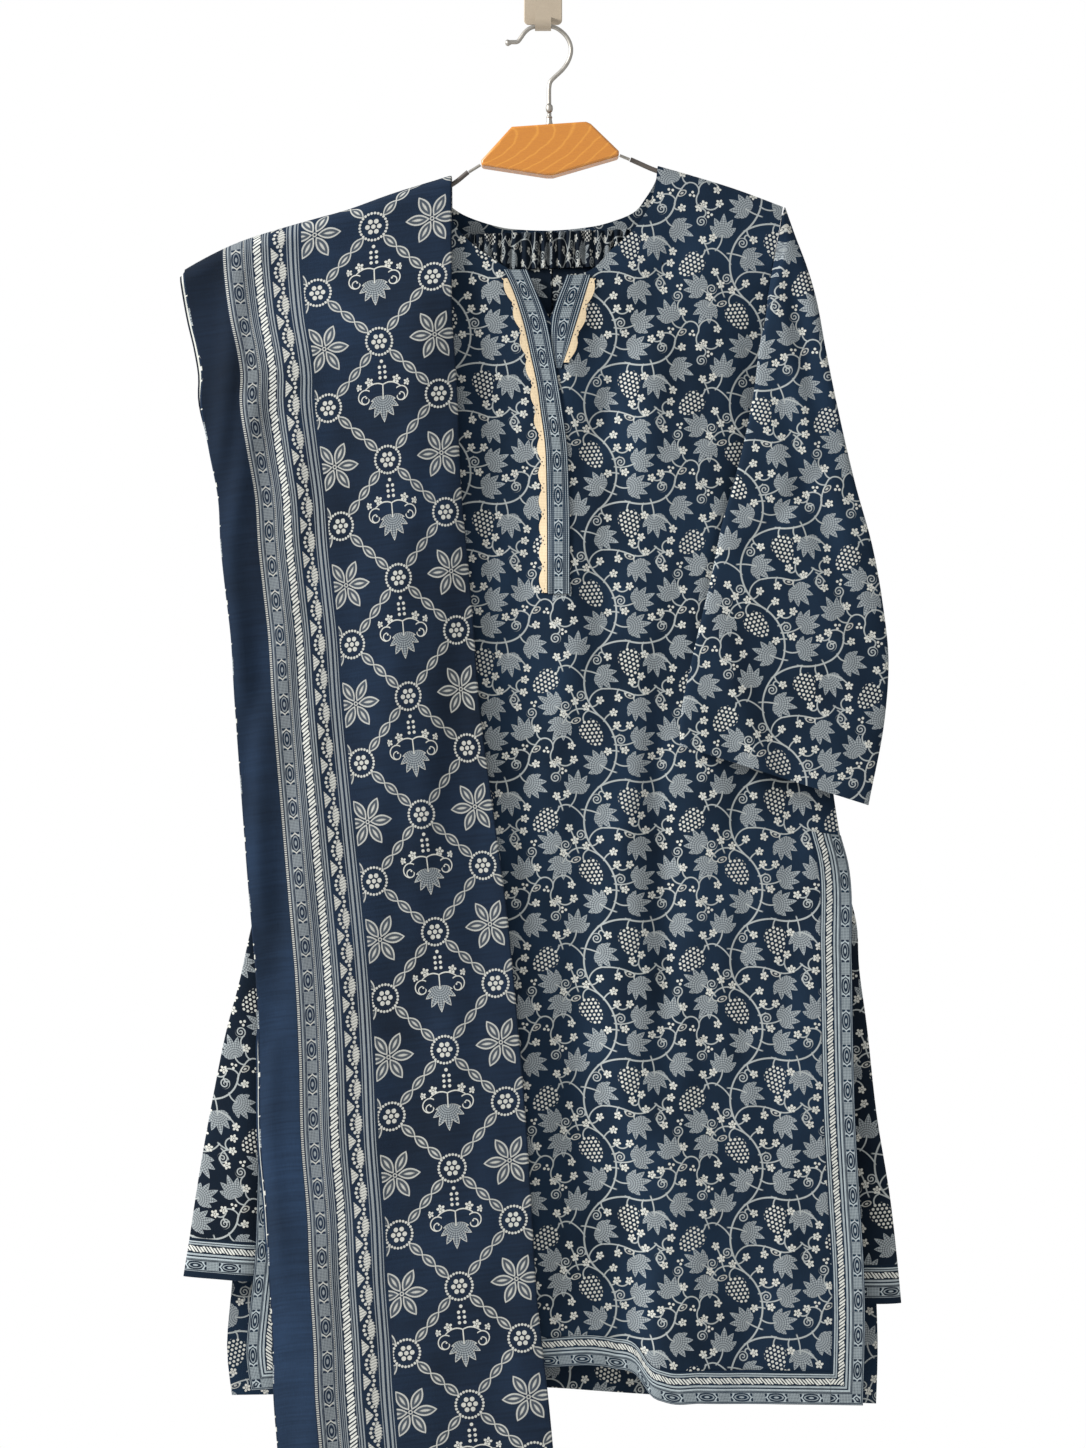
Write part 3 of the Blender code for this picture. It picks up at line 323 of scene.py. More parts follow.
def sheet_mesh(name, grid, cloth, material, ring=False, thickness=THIN):
    """A closed thin shell round a grid of middle points, with its cloth coordinates. cloth has a
    column more than the grid where the grid is a ring."""
    rows, columns = grid.shape[:2]
    lift = normals(grid, ring) * thickness / 2
    sheets = np.concatenate([(grid + lift).reshape(-1, 3), (grid - lift).reshape(-1, 3)]) * MM
    cells = columns if ring else columns - 1
    r, c = np.meshgrid(np.arange(rows - 1), np.arange(cells), indexing="ij")
    r, c = r.ravel(), c.ravel()
    half = rows * columns

    def place(row, column):
        return row * columns + column % columns

    corner_steps = ((0, 0), (0, 1), (1, 1), (1, 0))
    outer = np.stack([place(r + dr, c + dc) for dr, dc in corner_steps], axis=1)
    outer_uv = np.stack([cloth[r + dr, c + dc] for dr, dc in corner_steps], axis=1)
    faces = [outer, half + outer[:, ::-1]]
    uvs = [outer_uv, outer_uv[:, ::-1]]

    def rim(path_rows, path_columns, flip):
        a = place(path_rows[:-1], path_columns[:-1])
        b = place(path_rows[1:], path_columns[1:])
        ua, ub = cloth[path_rows[:-1], path_columns[:-1]], cloth[path_rows[1:], path_columns[1:]]
        quad = np.stack([a, b, half + b, half + a], axis=1)
        uv = np.stack([ua, ub, ub, ua], axis=1)
        faces.append(quad[:, ::-1] if flip else quad)
        uvs.append(uv[:, ::-1] if flip else uv)

    along = np.arange(cells + 1)
    down = np.arange(rows)
    rim(np.zeros_like(along), along, True)
    rim(np.full_like(along, rows - 1), along, False)
    if not ring:
        rim(down, np.zeros_like(down), False)
        rim(down, np.full_like(down, columns - 1), True)
    quads = np.concatenate(faces)
    mesh = bpy.data.meshes.new(name)
    mesh.vertices.add(len(sheets))
    mesh.vertices.foreach_set("co", sheets.ravel())
    mesh.loops.add(quads.size)
    mesh.loops.foreach_set("vertex_index", quads.ravel().astype(np.int32))
    mesh.polygons.add(len(quads))
    mesh.polygons.foreach_set("loop_start", np.arange(0, quads.size, 4, dtype=np.int32))
    mesh.polygons.foreach_set("loop_total", np.full(len(quads), 4, dtype=np.int32))
    layer = mesh.uv_layers.new(name=CLOTH_MAP)
    layer.data.foreach_set("uv", (np.concatenate(uvs).reshape(-1, 2) * MM).ravel())
    mesh.update(calc_edges=True)
    mesh.validate()
    mesh.shade_smooth()
    mesh.set_sharp_from_angle(angle=math.radians(60))
    mesh.materials.append(material)
    return mesh


def cloth_piece(name, grid, cloth, material, replaces, ring=False, thickness=THIN):
    mesh = sheet_mesh(name, grid, cloth, material, ring, thickness)
    return new_object(name, mesh, replaces)


def arc_along(grid, axis):
    """Lengths along a grid's rows (axis 0) or columns (axis 1), from their first point."""
    step = np.linalg.norm(np.diff(grid, axis=axis), axis=-1)
    start = np.zeros_like(np.take(step, [0], axis=axis))
    return np.cumsum(np.concatenate([start, step], axis=axis), axis=axis)


# ---- the kameez's form ----

FRONT_EDGES, BACK_EDGES = SIDES + FRONT_SLITS, SIDES + BACK_SLITS
bag_front, bag_back = curve(BAG, 1), curve(BAG, 2)
ridge_x = curve(RIDGE)


def armhole(drop, tip, armpit):
    """How far a panel's edge stands open beside a sleeve."""
    return ARMHOLE_OPEN * (1 - np.clip((drop - tip) / (armpit - tip), 0, 1) ** 3)


def lens(across):
    """How far the open middle of a panel has left its edges, from 0 to 1."""
    return 1 - np.abs(2 * across - 1) ** 6


def parted(drop):
    """0 above the slits and 1 where the panels' edges hang free of each other."""
    return ease(SLIT_DROP, SLIT_DROP + SLIT_OPENS, drop)


def stand_off(across, drop, top, top_x, bag):
    """How far a kameez panel's middle surface lies from the hung plane."""
    full = bag(drop)
    right = across < 0.5
    edge = np.where(
        right,
        armhole(drop, TIP_RIGHT[1], ARMPIT_RIGHT),
        armhole(drop, TIP_LEFT[1], ARMPIT_LEFT),
    )
    edge = edge + full * parted(drop)
    body = edge + (full - edge) * lens(across)
    neck_top = np.where(right, NECK_RIGHT[1], NECK_LEFT[1])
    in_neck = (top_x > NECK_RIGHT[0]) & (top_x < NECK_LEFT[0])
    sewn = np.where(in_neck, np.exp(-np.clip(top - neck_top, 0, None) / SHOULDER_ROUND), 1.0)
    rounded = 1 - np.exp(-(drop - top) / SHOULDER_ROUND)
    return SEAM_HALF - 0.2 * sewn * (1 - rounded) + body * (1 - sewn * (1 - rounded))


def front_folds(x, drop):
    """How far the folds move the kameez front towards the wall."""
    past = x - ridge_x(drop)
    grown = ease(690, 1060, drop)
    rise = RIDGE_RISE * ease(-9, 9, past) * np.exp(-np.clip(past - 14, 0, None) ** 2 / 3600)
    sink = RIDGE_SINK * np.exp(-((past + 34) ** 2) / 1300)
    return grown * (sink - rise) + single_fold(x, drop, *SIDE_FOLD)


def front_creases(x, drop):
    """The soft wrinkles that the cloth hangs in, towards the wall. They calm down at the sides."""
    open_part = ease(215, 330, drop) * (1 - 0.75 * ease(1150, 1240, drop))
    long_folds = 2.2 + 2.6 * waves(x, drop, 11, longest=170, shortest=60)
    small = 0.6 * waves(x, drop, 12, count=4, longest=60, shortest=28, lean=0.4)
    single = single_fold(x, drop, *CENTRE_FOLD) + single_fold(x, drop, *ARM_FOLD)
    calm = 1 - ease(0.8, 0.97, np.abs(x - 10) / 250)
    return (long_folds + small) * open_part * (0.25 + 0.75 * calm) + single * calm


def back_creases(x, drop):
    """The same for the back, towards the front."""
    open_part = ease(215, 330, drop)
    calm = 1 - ease(0.75, 0.97, np.abs(x - 8) / 270)
    return -(1.2 + 1.4 * waves(x, drop, 21, longest=240, shortest=80)) * open_part * (
        0.2 + 0.8 * calm)


def panel(edges, top, corners, hem, rows, bag, side):
    """The middle surface of a kameez panel; side is -1 for the front and 1 for the back."""
    coarse_x, coarse_drop = np.array(top, float).T
    left_of, right_of = curve(edges, 1), curve(edges, 2)
    coarse = (coarse_x - left_of(coarse_drop)) / (right_of(coarse_drop) - left_of(coarse_drop))
    even = coarse.copy()
    even[1:-1] = np.linspace(coarse[1], coarse[-2], len(coarse) - 2)
    even = finer(even, PANEL_FINE)
    top_x, top_drop = smooth_outline(top, corners, PANEL_FINE).T
    across = (top_x - left_of(top_drop)) / (right_of(top_drop) - left_of(top_drop))
    hem_x = edges[-1][1] + even * (edges[-1][2] - edges[-1][1])
    hem_drop = curve(hem)(hem_x)
    steps = [top_drop + step for step in finer(TOP_STEPS, TOP_FINE)]
    start = top_drop + ROW_STEP_END
    steps += [start + share * (hem_drop - start) for share in finer(rows, ROW_FINE)]
    drop = np.array(steps)
    across = across + (even - across) * ease(0, EVEN_BY, drop - top_drop)
    x = left_of(drop) + across * (right_of(drop) - left_of(drop))
    y = HUNG_Y + side * stand_off(across, drop, top_drop, top_x, bag)
    if side < 0:
        y = y + front_folds(x, drop) + front_creases(x, drop)
    else:
        y = y + back_creases(x, drop)
    return points(x, y, drop)


def flat_cloth(grid):
    """Cloth coordinates of a panel that hangs nearly flat: x, and height above the origin."""
    return np.stack([grid[..., 0], grid[..., 2]], axis=-1)


def moved_out(patch, by):
    """A part of a panel's grid, moved off its outer face."""
    up = normals(patch)
    return patch - up * np.sign(up[..., 1:2]) * by


def front_surface_y(x, drop):
    """y of the kameez front's middle surface in its open middle part, with its creases."""
    left_of, right_of = curve(FRONT_EDGES, 1)(drop), curve(FRONT_EDGES, 2)(drop)
    across = (x - left_of) / (right_of - left_of)
    body = HUNG_Y - SEAM_HALF - bag_front(drop) * lens(across)
    return body + front_folds(x, drop) + front_creases(x, drop)


# ---- sleeves ----

def sleeve(inner, outer, half, tip, armpit, hems, side):
    """A flattened tube as an open wall, from the armhole's front edge, or the underarm seam below
    it, forward to the inner fold, over the front to the outer edge, and round the back. It returns
    the grid and its cloth coordinates."""
    edge = curve(SIDES, 2 if side > 0 else 1)
    inner_x, inner_y = curve(inner), curve(inner, 2)
    outer_x, outer_y = curve(outer), curve(outer, 2)
    thick = curve(half)
    turns = finer(SLEEVE_TURN, TURN_FINE)
    fronts = (1 - np.cos(np.radians(turns))) / 2
    unders = finer(UNDER_SHARES, TURN_FINE)
    rows = [(tip + share * (armpit - tip), 0.0) for share in finer(ARMHOLE_SHARES, ARMHOLE_FINE)]
    rows += [(armpit + share * (hems[0] - armpit), share)
             for share in finer((0, *SLEEVE_SHARES), SLEEVE_FINE)[1:]]
    first = rows[0][0]
    grid, cloth = [], []
    for drop, below in rows:
        raised = ARCH * (1 - ease(0, ARCH_END, drop - first))
        outer_drop = drop - raised + below * (hems[1] - hems[0])
        near, far = inner_x(drop), outer_x(outer_drop)
        near_y, far_y = inner_y(drop), outer_y(outer_drop)
        armhole_x = edge(min(drop, armpit)) + side * ARMHOLE_CLEAR
        across = UNDERARM[0] + below * (UNDERARM[1] - UNDERARM[0])
        seam_x = near + across * (far - near)
        seam_x += (armhole_x - seam_x) * (1 - ease(0, 0.3, below))
        seam_share = np.clip((seam_x - near) / (far - near), 0, 1)
        share = np.concatenate([seam_share * unders, fronts, 1 - fronts[1:] * (1 - seam_share)])
        middle = near_y + share * (far_y - near_y)
        swell = thick(drop) * (4 * share * (1 - share)) ** 0.3
        seam_y = middle[0] + swell[0]
        tuck = ease(0, 10, side * (seam_x - near))
        if below > 0:
            top_y = HUNG_Y - SEAM_HALF - UNDER_FORWARD
            front_y = back_y = seam_y + (top_y - seam_y) * (1 - ease(0, 0.06, below))
        else:
            rounded = 1 - np.exp((tip - drop) / SHOULDER_ROUND)
            off = SEAM_HALF + armhole(drop, tip, armpit) * rounded
            front_y, back_y = HUNG_Y - off - UNDER_FORWARD * tuck, HUNG_Y + off
        gap = side * SEAM_GAP * (drop >= armpit)
        under_x = near + unders * (seam_x - gap - near)
        front_x = near + fronts * (far - near)
        back_x = far + fronts[1:] * (seam_x + gap - far)
        settle = min(SETTLE, 0.8 * abs(far - seam_x))
        pulled = (back_y - seam_y) * (1 - ease(0, settle, np.abs(back_x - seam_x)))
        a, b = len(under_x), len(under_x) + len(front_x)
        under_y = middle[:a] + tuck * swell[:a]
        under_y += (front_y - under_y[0]) * unders ** (UNDER_PULL[0] + UNDER_PULL[1] * tuck)
        x = np.concatenate([under_x, front_x, back_x])
        drops = drop + share * (outer_drop - drop)
        creased = sleeve_creases(x, drops, side) * (4 * share * (1 - share)) * ease(
            0, 60, drop - first)
        front_wall = (middle - swell)[a:b] + creased[a:b]
        back_wall = (middle + swell)[b:] + pulled - 0.5 * creased[b:]
        y = np.concatenate([under_y, front_wall, back_wall])
        flat = points(x, y, drops)
        turn = np.linspace(0, np.pi, len(x))
        arch = points(
            seam_x + (far - seam_x) * np.sin(turn),
            HUNG_Y + (front_y - HUNG_Y) * np.cos(turn) + (far_y - HUNG_Y) * np.sin(turn),
            drop + (outer_drop - drop) * np.sin(turn),
        )
        grid.append(arch + ease(*ARCH_FADE, drop - first) * (flat - arch))
        unrolled = np.concatenate([2 * near - under_x, front_x, 2 * far - back_x])
        cloth.append(np.stack([unrolled, -drops], axis=-1))
    return np.array(grid), np.array(cloth)


def sleeve_creases(x, drop, side):
    """Slanting wrinkles down the sleeve, inwards."""
    slanted = x - side * 0.28 * (drop - 200)
    long_folds = 2.0 + 2.0 * waves(slanted, drop, 31, count=4, longest=100, shortest=36, lean=0.1)
    elbow = 3.2 * bump(side * x + 0.9 * (drop - 455), 215, 13) * bump(drop, 470, 60)
    return long_folds + elbow + single_fold(side * x, drop, *SLEEVE_FOLD)


# ---- the salwar ----

def waist_top(x):
    """The drop of the waistband's top edge, which slopes with the shoulders."""
    slope = (WAIST_DROP[1] - WAIST_DROP[0]) / (WAIST_X[1] - WAIST_X[0])
    return WAIST_DROP[0] + (x - WAIST_X[0]) * slope


def waistband():
    """A flattened ring whose wall zigzags in gathers."""
    count = POINTS_PER_GATHER * GATHERS
    turn = np.arange(count) * 2 * np.pi / count
    middle, half = sum(WAIST_X) / 2, (WAIST_X[1] - WAIST_X[0]) / 2
    share = 2 * np.abs((turn / np.pi + 0.5) % 2 - 1) - 1
    flat = np.sqrt(np.clip(1 - np.abs(share) ** 4, 0, 1))
    front = np.where(np.cos(turn) > 0, -1, 1)
    x = middle + share * half
    uneven = 1 + 0.3 * np.sin(7 * turn + 1) + 0.2 * np.sin(17 * turn)
    gather = -GATHER_HALF * np.cos(GATHERS * turn + 0.8 * np.sin(9 * turn)) * uneven * np.clip(
        3 * flat, 0, 1)
    y = WAIST_Y + front * (SEAM_HALF + BAND_HALF * flat)
    top = waist_top(x)
    downs = np.linspace(0, 1, 11)
    rows = []
    for down in downs:
        casing = 0.55 + 0.45 * abs(math.cos(math.pi * 2 * down))  # stitched down along two lines
        rows.append(points(x, y + gather * casing, top + BAND_HEIGHT * down))
    around = np.arange(count + 1) * 2 * (2 * half) * GATHERED_CLOTH / count
    cloth = np.stack(np.broadcast_arrays(around[None, :], -BAND_HEIGHT * downs[:, None]), axis=-1)
    return np.array(rows), cloth.astype(float)


def leg(table, hems, seed):
    """A leg cut in one piece, from the centre front round the outer side to the centre back."""
    to_side = np.sin(np.linspace(0, np.pi / 2, LEG_COLUMNS))
    share = np.concatenate([to_side, to_side[-2::-1]])
    face = np.array([-1] * (LEG_COLUMNS - 1) + [0] + [1] * (LEG_COLUMNS - 1))
    outer, inner = curve(table, 1), curve(table, 2)
    outer_hem, inner_hem = hems
    hem = inner_hem + share * (outer_hem - inner_hem)
    start_x = inner(LEG_TOP) + share * (outer(LEG_TOP) - inner(LEG_TOP))
    top = waist_top(start_x) + BAND_HEIGHT + GAP
    down = np.linspace(0, 1, LEG_ROWS)[:, None]
    drop = top + down * (hem - top)
    x = inner(drop) + share * (outer(drop) - inner(drop))
    own = ease(*CROTCH, drop)
    closing = 1 - own * (1 - np.sqrt(1 - (1 - share) ** 8))
    half = LEG_HALF * np.sqrt(1 - share**6) * closing + SEAM_HALF * own * (share < 0.01)
    in_seam = share**4 * (1 - parted(drop))
    middle = LEG_Y + (HUNG_Y - LEG_Y) * in_seam
    fold = LEG_FOLD_HALF * ease(300, 900, drop) * (1 - in_seam) * np.sin(
        2 * np.pi * x / LEG_FOLD_PITCH)
    soft = 0.9 * waves(x, drop, seed, count=4, longest=90, shortest=38) * ease(
        280, 420, drop) * (1 - in_seam)
    grid = points(x, middle + face * half + fold + soft, drop)
    far = x[:, LEG_COLUMNS - 1:LEG_COLUMNS]
    unrolled = np.where(np.arange(len(share)) < LEG_COLUMNS, x, 2 * far - x)
    cloth = np.stack([unrolled, hem - drop + 0 * x], axis=-1)
    return grid, cloth


# ---- the dupatta's form ----

DUPATTA_ACROSS = 30  # points across a ply
RIDGE_ROWS, FRONT_FALL_ROWS, BACK_FALL_ROWS = 17, 176, 110  # over the shoulder, and down each side
CROWDED = 1.35  # more than 1: the points lie closer towards the outer edge
BAND_FOLDS = (  # height and half width of each, and its line down the plain band: drop, x
    (4.8, 9, ((225, -272), (300, -271), (370, -276), (450, -284))),
    (4.4, 9, ((330, -250), (420, -262), (500, -271), (590, -264), (660, -258))),
    (3.8, 9, ((610, -243), (700, -248), (790, -246), (850, -238))),
    (3.2, 8, ((900, -232), (990, -238), (1080, -232), (1160, -228))),
)
DUPATTA_LIFTS = (4.1, 2.5, 1.5, 0.5)  # of the four plies from the inner face, the upper one first
# How far the lowest ply shows past the upper one near the shoulder and further down, how far back
# it ends elsewhere, and the plies' shares of that
SHOWN_AT_TOP, SHOWN_BELOW, TUCKED = 6.0, 5.0, 1.0
SHOWN_SHARES = (0, 0.1, 0.15, 1.0)
CROSS_CREASES = ((863, -0.12), (1204, -0.15))  # drop at x = -230, and its change for each mm
PLY_PRINT = 233.0  # cloth from fold to fold
DUPATTA_WIDTH = 4 * PLY_PRINT
PLY_WIDTH = 235  # about what a ply measures across, which a fold's share is taken from
FOLD_MARGIN = 0.004  # share of a ply that its fold takes at each side
FOLD_TURNS = (40, 90, 140)  # degrees round a fold, from one ply to the next
FOLD_PRINT = 0.4  # cloth between two of these turns
REFERENCE = (-133.8, 322)  # x, drop of a ring of the print
PRINT_LEAN = 0.14


def dupatta_spread(drop, ply, share):
    """How far a ply's points lie from the upper ply's outline, outwards."""
    near_top = SHOWN_AT_TOP * (1 - ease(330, 440, drop))
    lower = SHOWN_BELOW * ease(880, 935, drop) * (1 - ease(1090, 1150, drop))
    shown = near_top + lower - TUCKED
    return shown * SHOWN_SHARES[ply] * np.clip(1 - share * 4, 0, 1)


def dupatta_creases(x, drop, side):
    """Soft folds of the whole bundle, away from the hung plane."""
    long_folds = 1.2 + 1.5 * waves(x, drop, 41 + side, count=5, longest=120, shortest=34, lean=0.2)
    cross = 0.0
    for low, slope in CROSS_CREASES:
        line = drop - low - slope * (x + 230)
        cross = cross - 1.8 * bump(line, 0, 7) * bump(x, -226, 34)
    folds = (long_folds + cross) * ease(290, 420, drop)
    for height, half, line in BAND_FOLDS:
        first, last = line[0][0], line[-1][0]
        within = ease(first, first + 50, drop) * (1 - ease(last - 60, last, drop))
        folds = folds + height * bump(x, curve(line)(drop), half) * within
    return folds


def dupatta_stretch(side, hem, rest, rows):
    """The four plies from the top of the shoulder down; side is -1 for the front. It returns rows
    of points that run to and fro across the plies, and u on the flat cloth for each column."""
    outer, inner = curve(DUPATTA_EDGES, 1), curve(DUPATTA_EDGES, 2)
    rest_y = curve(rest)
    low, high = FOLD_MARGIN ** (1 / CROWDED), (1 - FOLD_MARGIN) ** (1 / CROWDED)
    run = np.linspace(low, high, DUPATTA_ACROSS) ** CROWDED
    share, lift, along, ply = [], [], [], []
    for layer, height in enumerate(DUPATTA_LIFTS):
        forward = layer % 2 == 0
        share += list(run if forward else run[::-1])
        lift += [height] * DUPATTA_ACROSS
        along += list((layer + (run if forward else 1 - run[::-1])) * PLY_PRINT)
        ply += [layer] * DUPATTA_ACROSS
        if layer == len(DUPATTA_LIFTS) - 1:
            continue
        below = DUPATTA_LIFTS[layer + 1]
        end, way = (1.0, 1) if forward else (0.0, -1)
        radius = (height - below) / 2
        for turn in FOLD_TURNS:
            out = radius * math.sin(math.radians(turn)) / PLY_WIDTH
            share.append(end + way * out - way * FOLD_MARGIN * 0.5)
            lift.append((height + below) / 2 + radius * math.cos(math.radians(turn)))
            along.append((layer + 1) * PLY_PRINT + (turn - 90) / 50 * FOLD_PRINT)
            ply.append(layer + (turn > 90))
    share, lift, along, ply = np.array(share), np.array(lift), np.array(along), np.array(ply)

    def across(drop):
        out = sum(
            np.where(ply == layer, dupatta_spread(drop, layer, share), 0)
            for layer in range(len(DUPATTA_LIFTS))
        )
        return outer(drop) + share * (inner(drop) - outer(drop)) - out

    crest = curve(RIDGE_TOP)(across(200.0)) + PLIES + PLY_GAP + CLOTH
    last = hem[0] + share * (hem[1] - hem[0])
    grid = []
    for turn in np.radians(np.linspace(0, 90, RIDGE_ROWS)):
        spread = FOLD_ROUND + lift
        drop = crest + FOLD_ROUND - spread * math.cos(turn)
        grid.append(points(across(drop), HUNG_Y + side * (GAP + spread * math.sin(turn)), drop))
    start = crest + FOLD_ROUND
    fall = HUNG_Y + side * (GAP + FOLD_ROUND)
    for down in np.linspace(0, 1, rows)[1:]:
        drop = start + down * (last - start)
        x = across(drop)
        goal = rest_y(drop)
        if side < 0:
            over = (1 - ease(-112, -60, x)) * ease(215, 330, drop) * (1 - ease(765, 900, drop))
            goal = goal - SLEEVE_LIFT * over
        settled = ease(0, 110, drop - start)
        crease = side * dupatta_creases(x, drop, side)
        grid.append(points(x, fall + settled * (goal - fall) + side * lift + crease, drop))
    return np.array(grid), along


def dupatta_grid():
    """The whole sheet from its back end over the shoulder to its front end, and its cloth
    coordinates: u from the selvedge that shows, v from the print's reference. The shoulder slopes,
    so down the back v is eased until the print lies square again."""
    front, along = dupatta_stretch(-1, DUPATTA_END, FRONT_REST, FRONT_FALL_ROWS)
    back, _ = dupatta_stretch(1, DUPATTA_BACK_END, BACK_REST, BACK_FALL_ROWS)
    grid = np.concatenate([back[::-1], front[1:]])
    crest = len(back) - 1
    length = arc_along(grid, 0)
    crest_v = -grid[crest, :, 2] - REFERENCE[1] + PRINT_LEAN * (grid[crest, :, 0] - REFERENCE[0])
    v = length - length[crest] + crest_v
    leaned = PRINT_LEAN * (grid[..., 0] - REFERENCE[0])
    down = -grid[:crest, :, 2]
    square = np.mean(crest_v - grid[crest, :, 2] + leaned[crest]) - down - leaned[:crest]
    v[:crest] += ease(0, 520, down + grid[crest, :, 2]) * (square - v[:crest])
    cloth = np.stack([np.broadcast_to(along, v.shape), v], axis=-1)
    return grid, cloth


# ---- solids: rods, turned parts, slabs ----

def solid(name, corners, faces, material, replaces, sharp=40):
    """A closed object from corners in millimetres, with its faces turned outwards."""
    mesh = bpy.data.meshes.new(name)
    mesh.from_pydata([tuple(c * MM for c in corner) for corner in corners], [], faces)
    build = bmesh.new()
    build.from_mesh(mesh)
    bmesh.ops.recalc_face_normals(build, faces=build.faces)
    if build.calc_volume(signed=True) < 0:
        bmesh.ops.reverse_faces(build, faces=build.faces)
    build.to_mesh(mesh)
    build.free()
    mesh.shade_smooth()
    mesh.set_sharp_from_angle(angle=math.radians(sharp))
    mesh.materials.append(material)
    return new_object(name, mesh, replaces)


def tube_faces(rings, sides):
    faces = [[r * sides + i, r * sides + (i + 1) % sides, (r + 1) * sides + (i + 1) % sides,
              (r + 1) * sides + i] for r in range(rings - 1) for i in range(sides)]
    last = (rings - 1) * sides
    return faces + [list(range(sides - 1, -1, -1)), list(range(last, last + sides))]


def rod(name, route, material, replaces, sides=24):
    """A round or oval rod along a route of (x, drop, half height, half depth) in the hung plane."""
    route = np.array(route, float)
    along = np.gradient(route[:, :2], axis=0)
    along /= np.linalg.norm(along, axis=1, keepdims=True)
    corners = []
    for (x, drop, high, deep), (dx, dd) in zip(route, along):
        for i in range(sides):
            a = 2 * math.pi * i / sides
            rise = high * math.cos(a)
            corners.append((x + dd * rise, HUNG_Y + deep * math.sin(a), -(drop - dx * rise)))
    return solid(name, corners, tube_faces(len(route), sides), material, replaces)


def turned(name, profile, material, replaces, sides=48):
    """A profile of (drop, radius) turned about the hook's neck."""
    angles = [2 * math.pi * i / sides for i in range(sides)]
    corners = [(NECK_X + radius * math.cos(a), HUNG_Y + radius * math.sin(a), -drop)
               for drop, radius in profile for a in angles]
    return solid(name, corners, tube_faces(len(profile), sides), material, replaces, 35)


def slab(name, outline, y_front, y_back, material, replaces, bevel):
    """An outline of (x, drop) between two depths, with rounded edges."""
    count = len(outline)
    corners = [(x, y, -drop) for y in (y_front, y_back) for x, drop in outline]
    faces = [list(range(count)), list(range(2 * count - 1, count - 1, -1))]
    faces += [[i, (i + 1) % count, count + (i + 1) % count, count + i] for i in range(count)]
    piece = solid(name, corners, faces, material, replaces)
    edges = piece.modifiers.new("edges", "BEVEL")
    edges.width, edges.segments, edges.limit_method = bevel * MM, 5, "ANGLE"
    edges.angle_limit = math.radians(50)
    return piece


def smooth_route(path, steps):
    """Points on a smooth curve through a path's rows, with steps between each two rows."""
    table = [(i, *row) for i, row in enumerate(path)]
    at = np.linspace(0, len(path) - 1, steps * (len(path) - 1) + 1)
    return np.stack([curve(table, column)(at) for column in range(1, len(table[0]))], axis=1)


# ---- tables of the lace, the hanger and the wall hook ----

LACE_PITCH = 23.0
LACE_WIDTH, LACE_SCALLOP = 2.6, 4.4  # of its plain band and of its scallops
PICOT = 2.3  # radius of the loop between two scallops
SCALLOP_FINE, LACE_ACROSS = 48, 7  # points along a scallop, and across
HOOK_WIRE = 1.9  # radius
HOOK_BALL = ((-33.2, 47.6, 0.9), (-32.6, 47.5, 2.1), (-31, 47.2, 2.9), (-29.2, 46.9, 2.2))
HOOK_CURVE = (  # x, drop
    (-27.6, 46.6), (-22.5, 46.2), (-19.3, 42.5), (-16, 38), (-11.4, 34.3), (-5, 32.5),
    (2, 32.4), (8.8, 33.1), (14.3, 35.7), (19.4, 40.2), (22.9, 45.6), (24.6, 51.5),
    (24.2, 57.8), (21.6, 64.6), (17, 71), (10.6, 77.1), (6.8, 81.2), (5.5, 86), (5.3, 93),
    (5.4, 101),
)
HOOK_PATH = (*HOOK_BALL, *((x, drop, HOOK_WIRE) for x, drop in HOOK_CURVE))  # x, drop, radius
NECK_X = 5.6
# Drop, radius
BEAD = ((101.3, 1.6), (101.7, 2.2), (102.4, 2.7), (103.4, 3.0), (105, 3.15), (106.6, 3.0),
        (107.6, 2.6), (108.3, 2.1), (108.8, 1.5))
FERRULE = ((109.1, 1.5), (109.4, 2.0), (110.6, 1.7), (111.5, 1.9), (112.3, 2.5), (113.2, 2.6),
           (113.8, 2.2), (115, 2.3), (117, 2.6), (118.6, 3.1), (119.2, 3.0), (119.5, 2.7))
BLOCK = (  # x, drop round the wooden block
    (-27.5, 122.6), (33, 118.4), (38, 118.2), (42, 120), (66.7, 144), (66.7, 148.5), (9, 165.3),
    (3, 165.3), (-54.2, 156.5), (-54.2, 152),
)
BLOCK_HALF = 11.0
BLOCK_BEVEL = 2.2
ARM_WIRE, ARM_SLEEVE = (1.3, 2.4), (2.1, 2.6)  # half height, half depth
ARM_GAP = 0.8  # from the wire to its sleeve
ARM_ROUTES = {  # x, drop of the arm's centre from the block to its end, inside the shoulder
    "right": ((-55.2, 154.8), (-66, 161), (-78, 170.6), (-92, 178.2), (-114, 184.4), (-149, 196.3),
              (-184, 209.2)),
    "left": ((67.6, 146.4), (77, 149.9), (101, 160.2), (129, 168.3), (165, 179.3), (190, 188.3),
             (199, 191.8)),
}
PLATE = (34.0, 52.0, 3.0)  # width, height, thickness
PLATE_CORNER, PLATE_BEVEL = 4.5, 0.8
TAB_SHEET = 1.2
TAB_ROUND = 9.6  # radius of the bend's middle surface
TAB_BEND_DROP = 26.45
TAB_ARM_DROP = 20.0
# Y, drop, half width up the tab
TAB_FRONT = ((-38.4, 23.0, 7.1), (-38.8, 20.5, 6.6), (-39.2, 18.3, 4.8), (-39.4, 16.6, 3.0),
             (-39.5, 15.7, 1.6))
TAB_HALF = 7.1


# ---- patterns in material nodes, in millimetres on the cloth ----

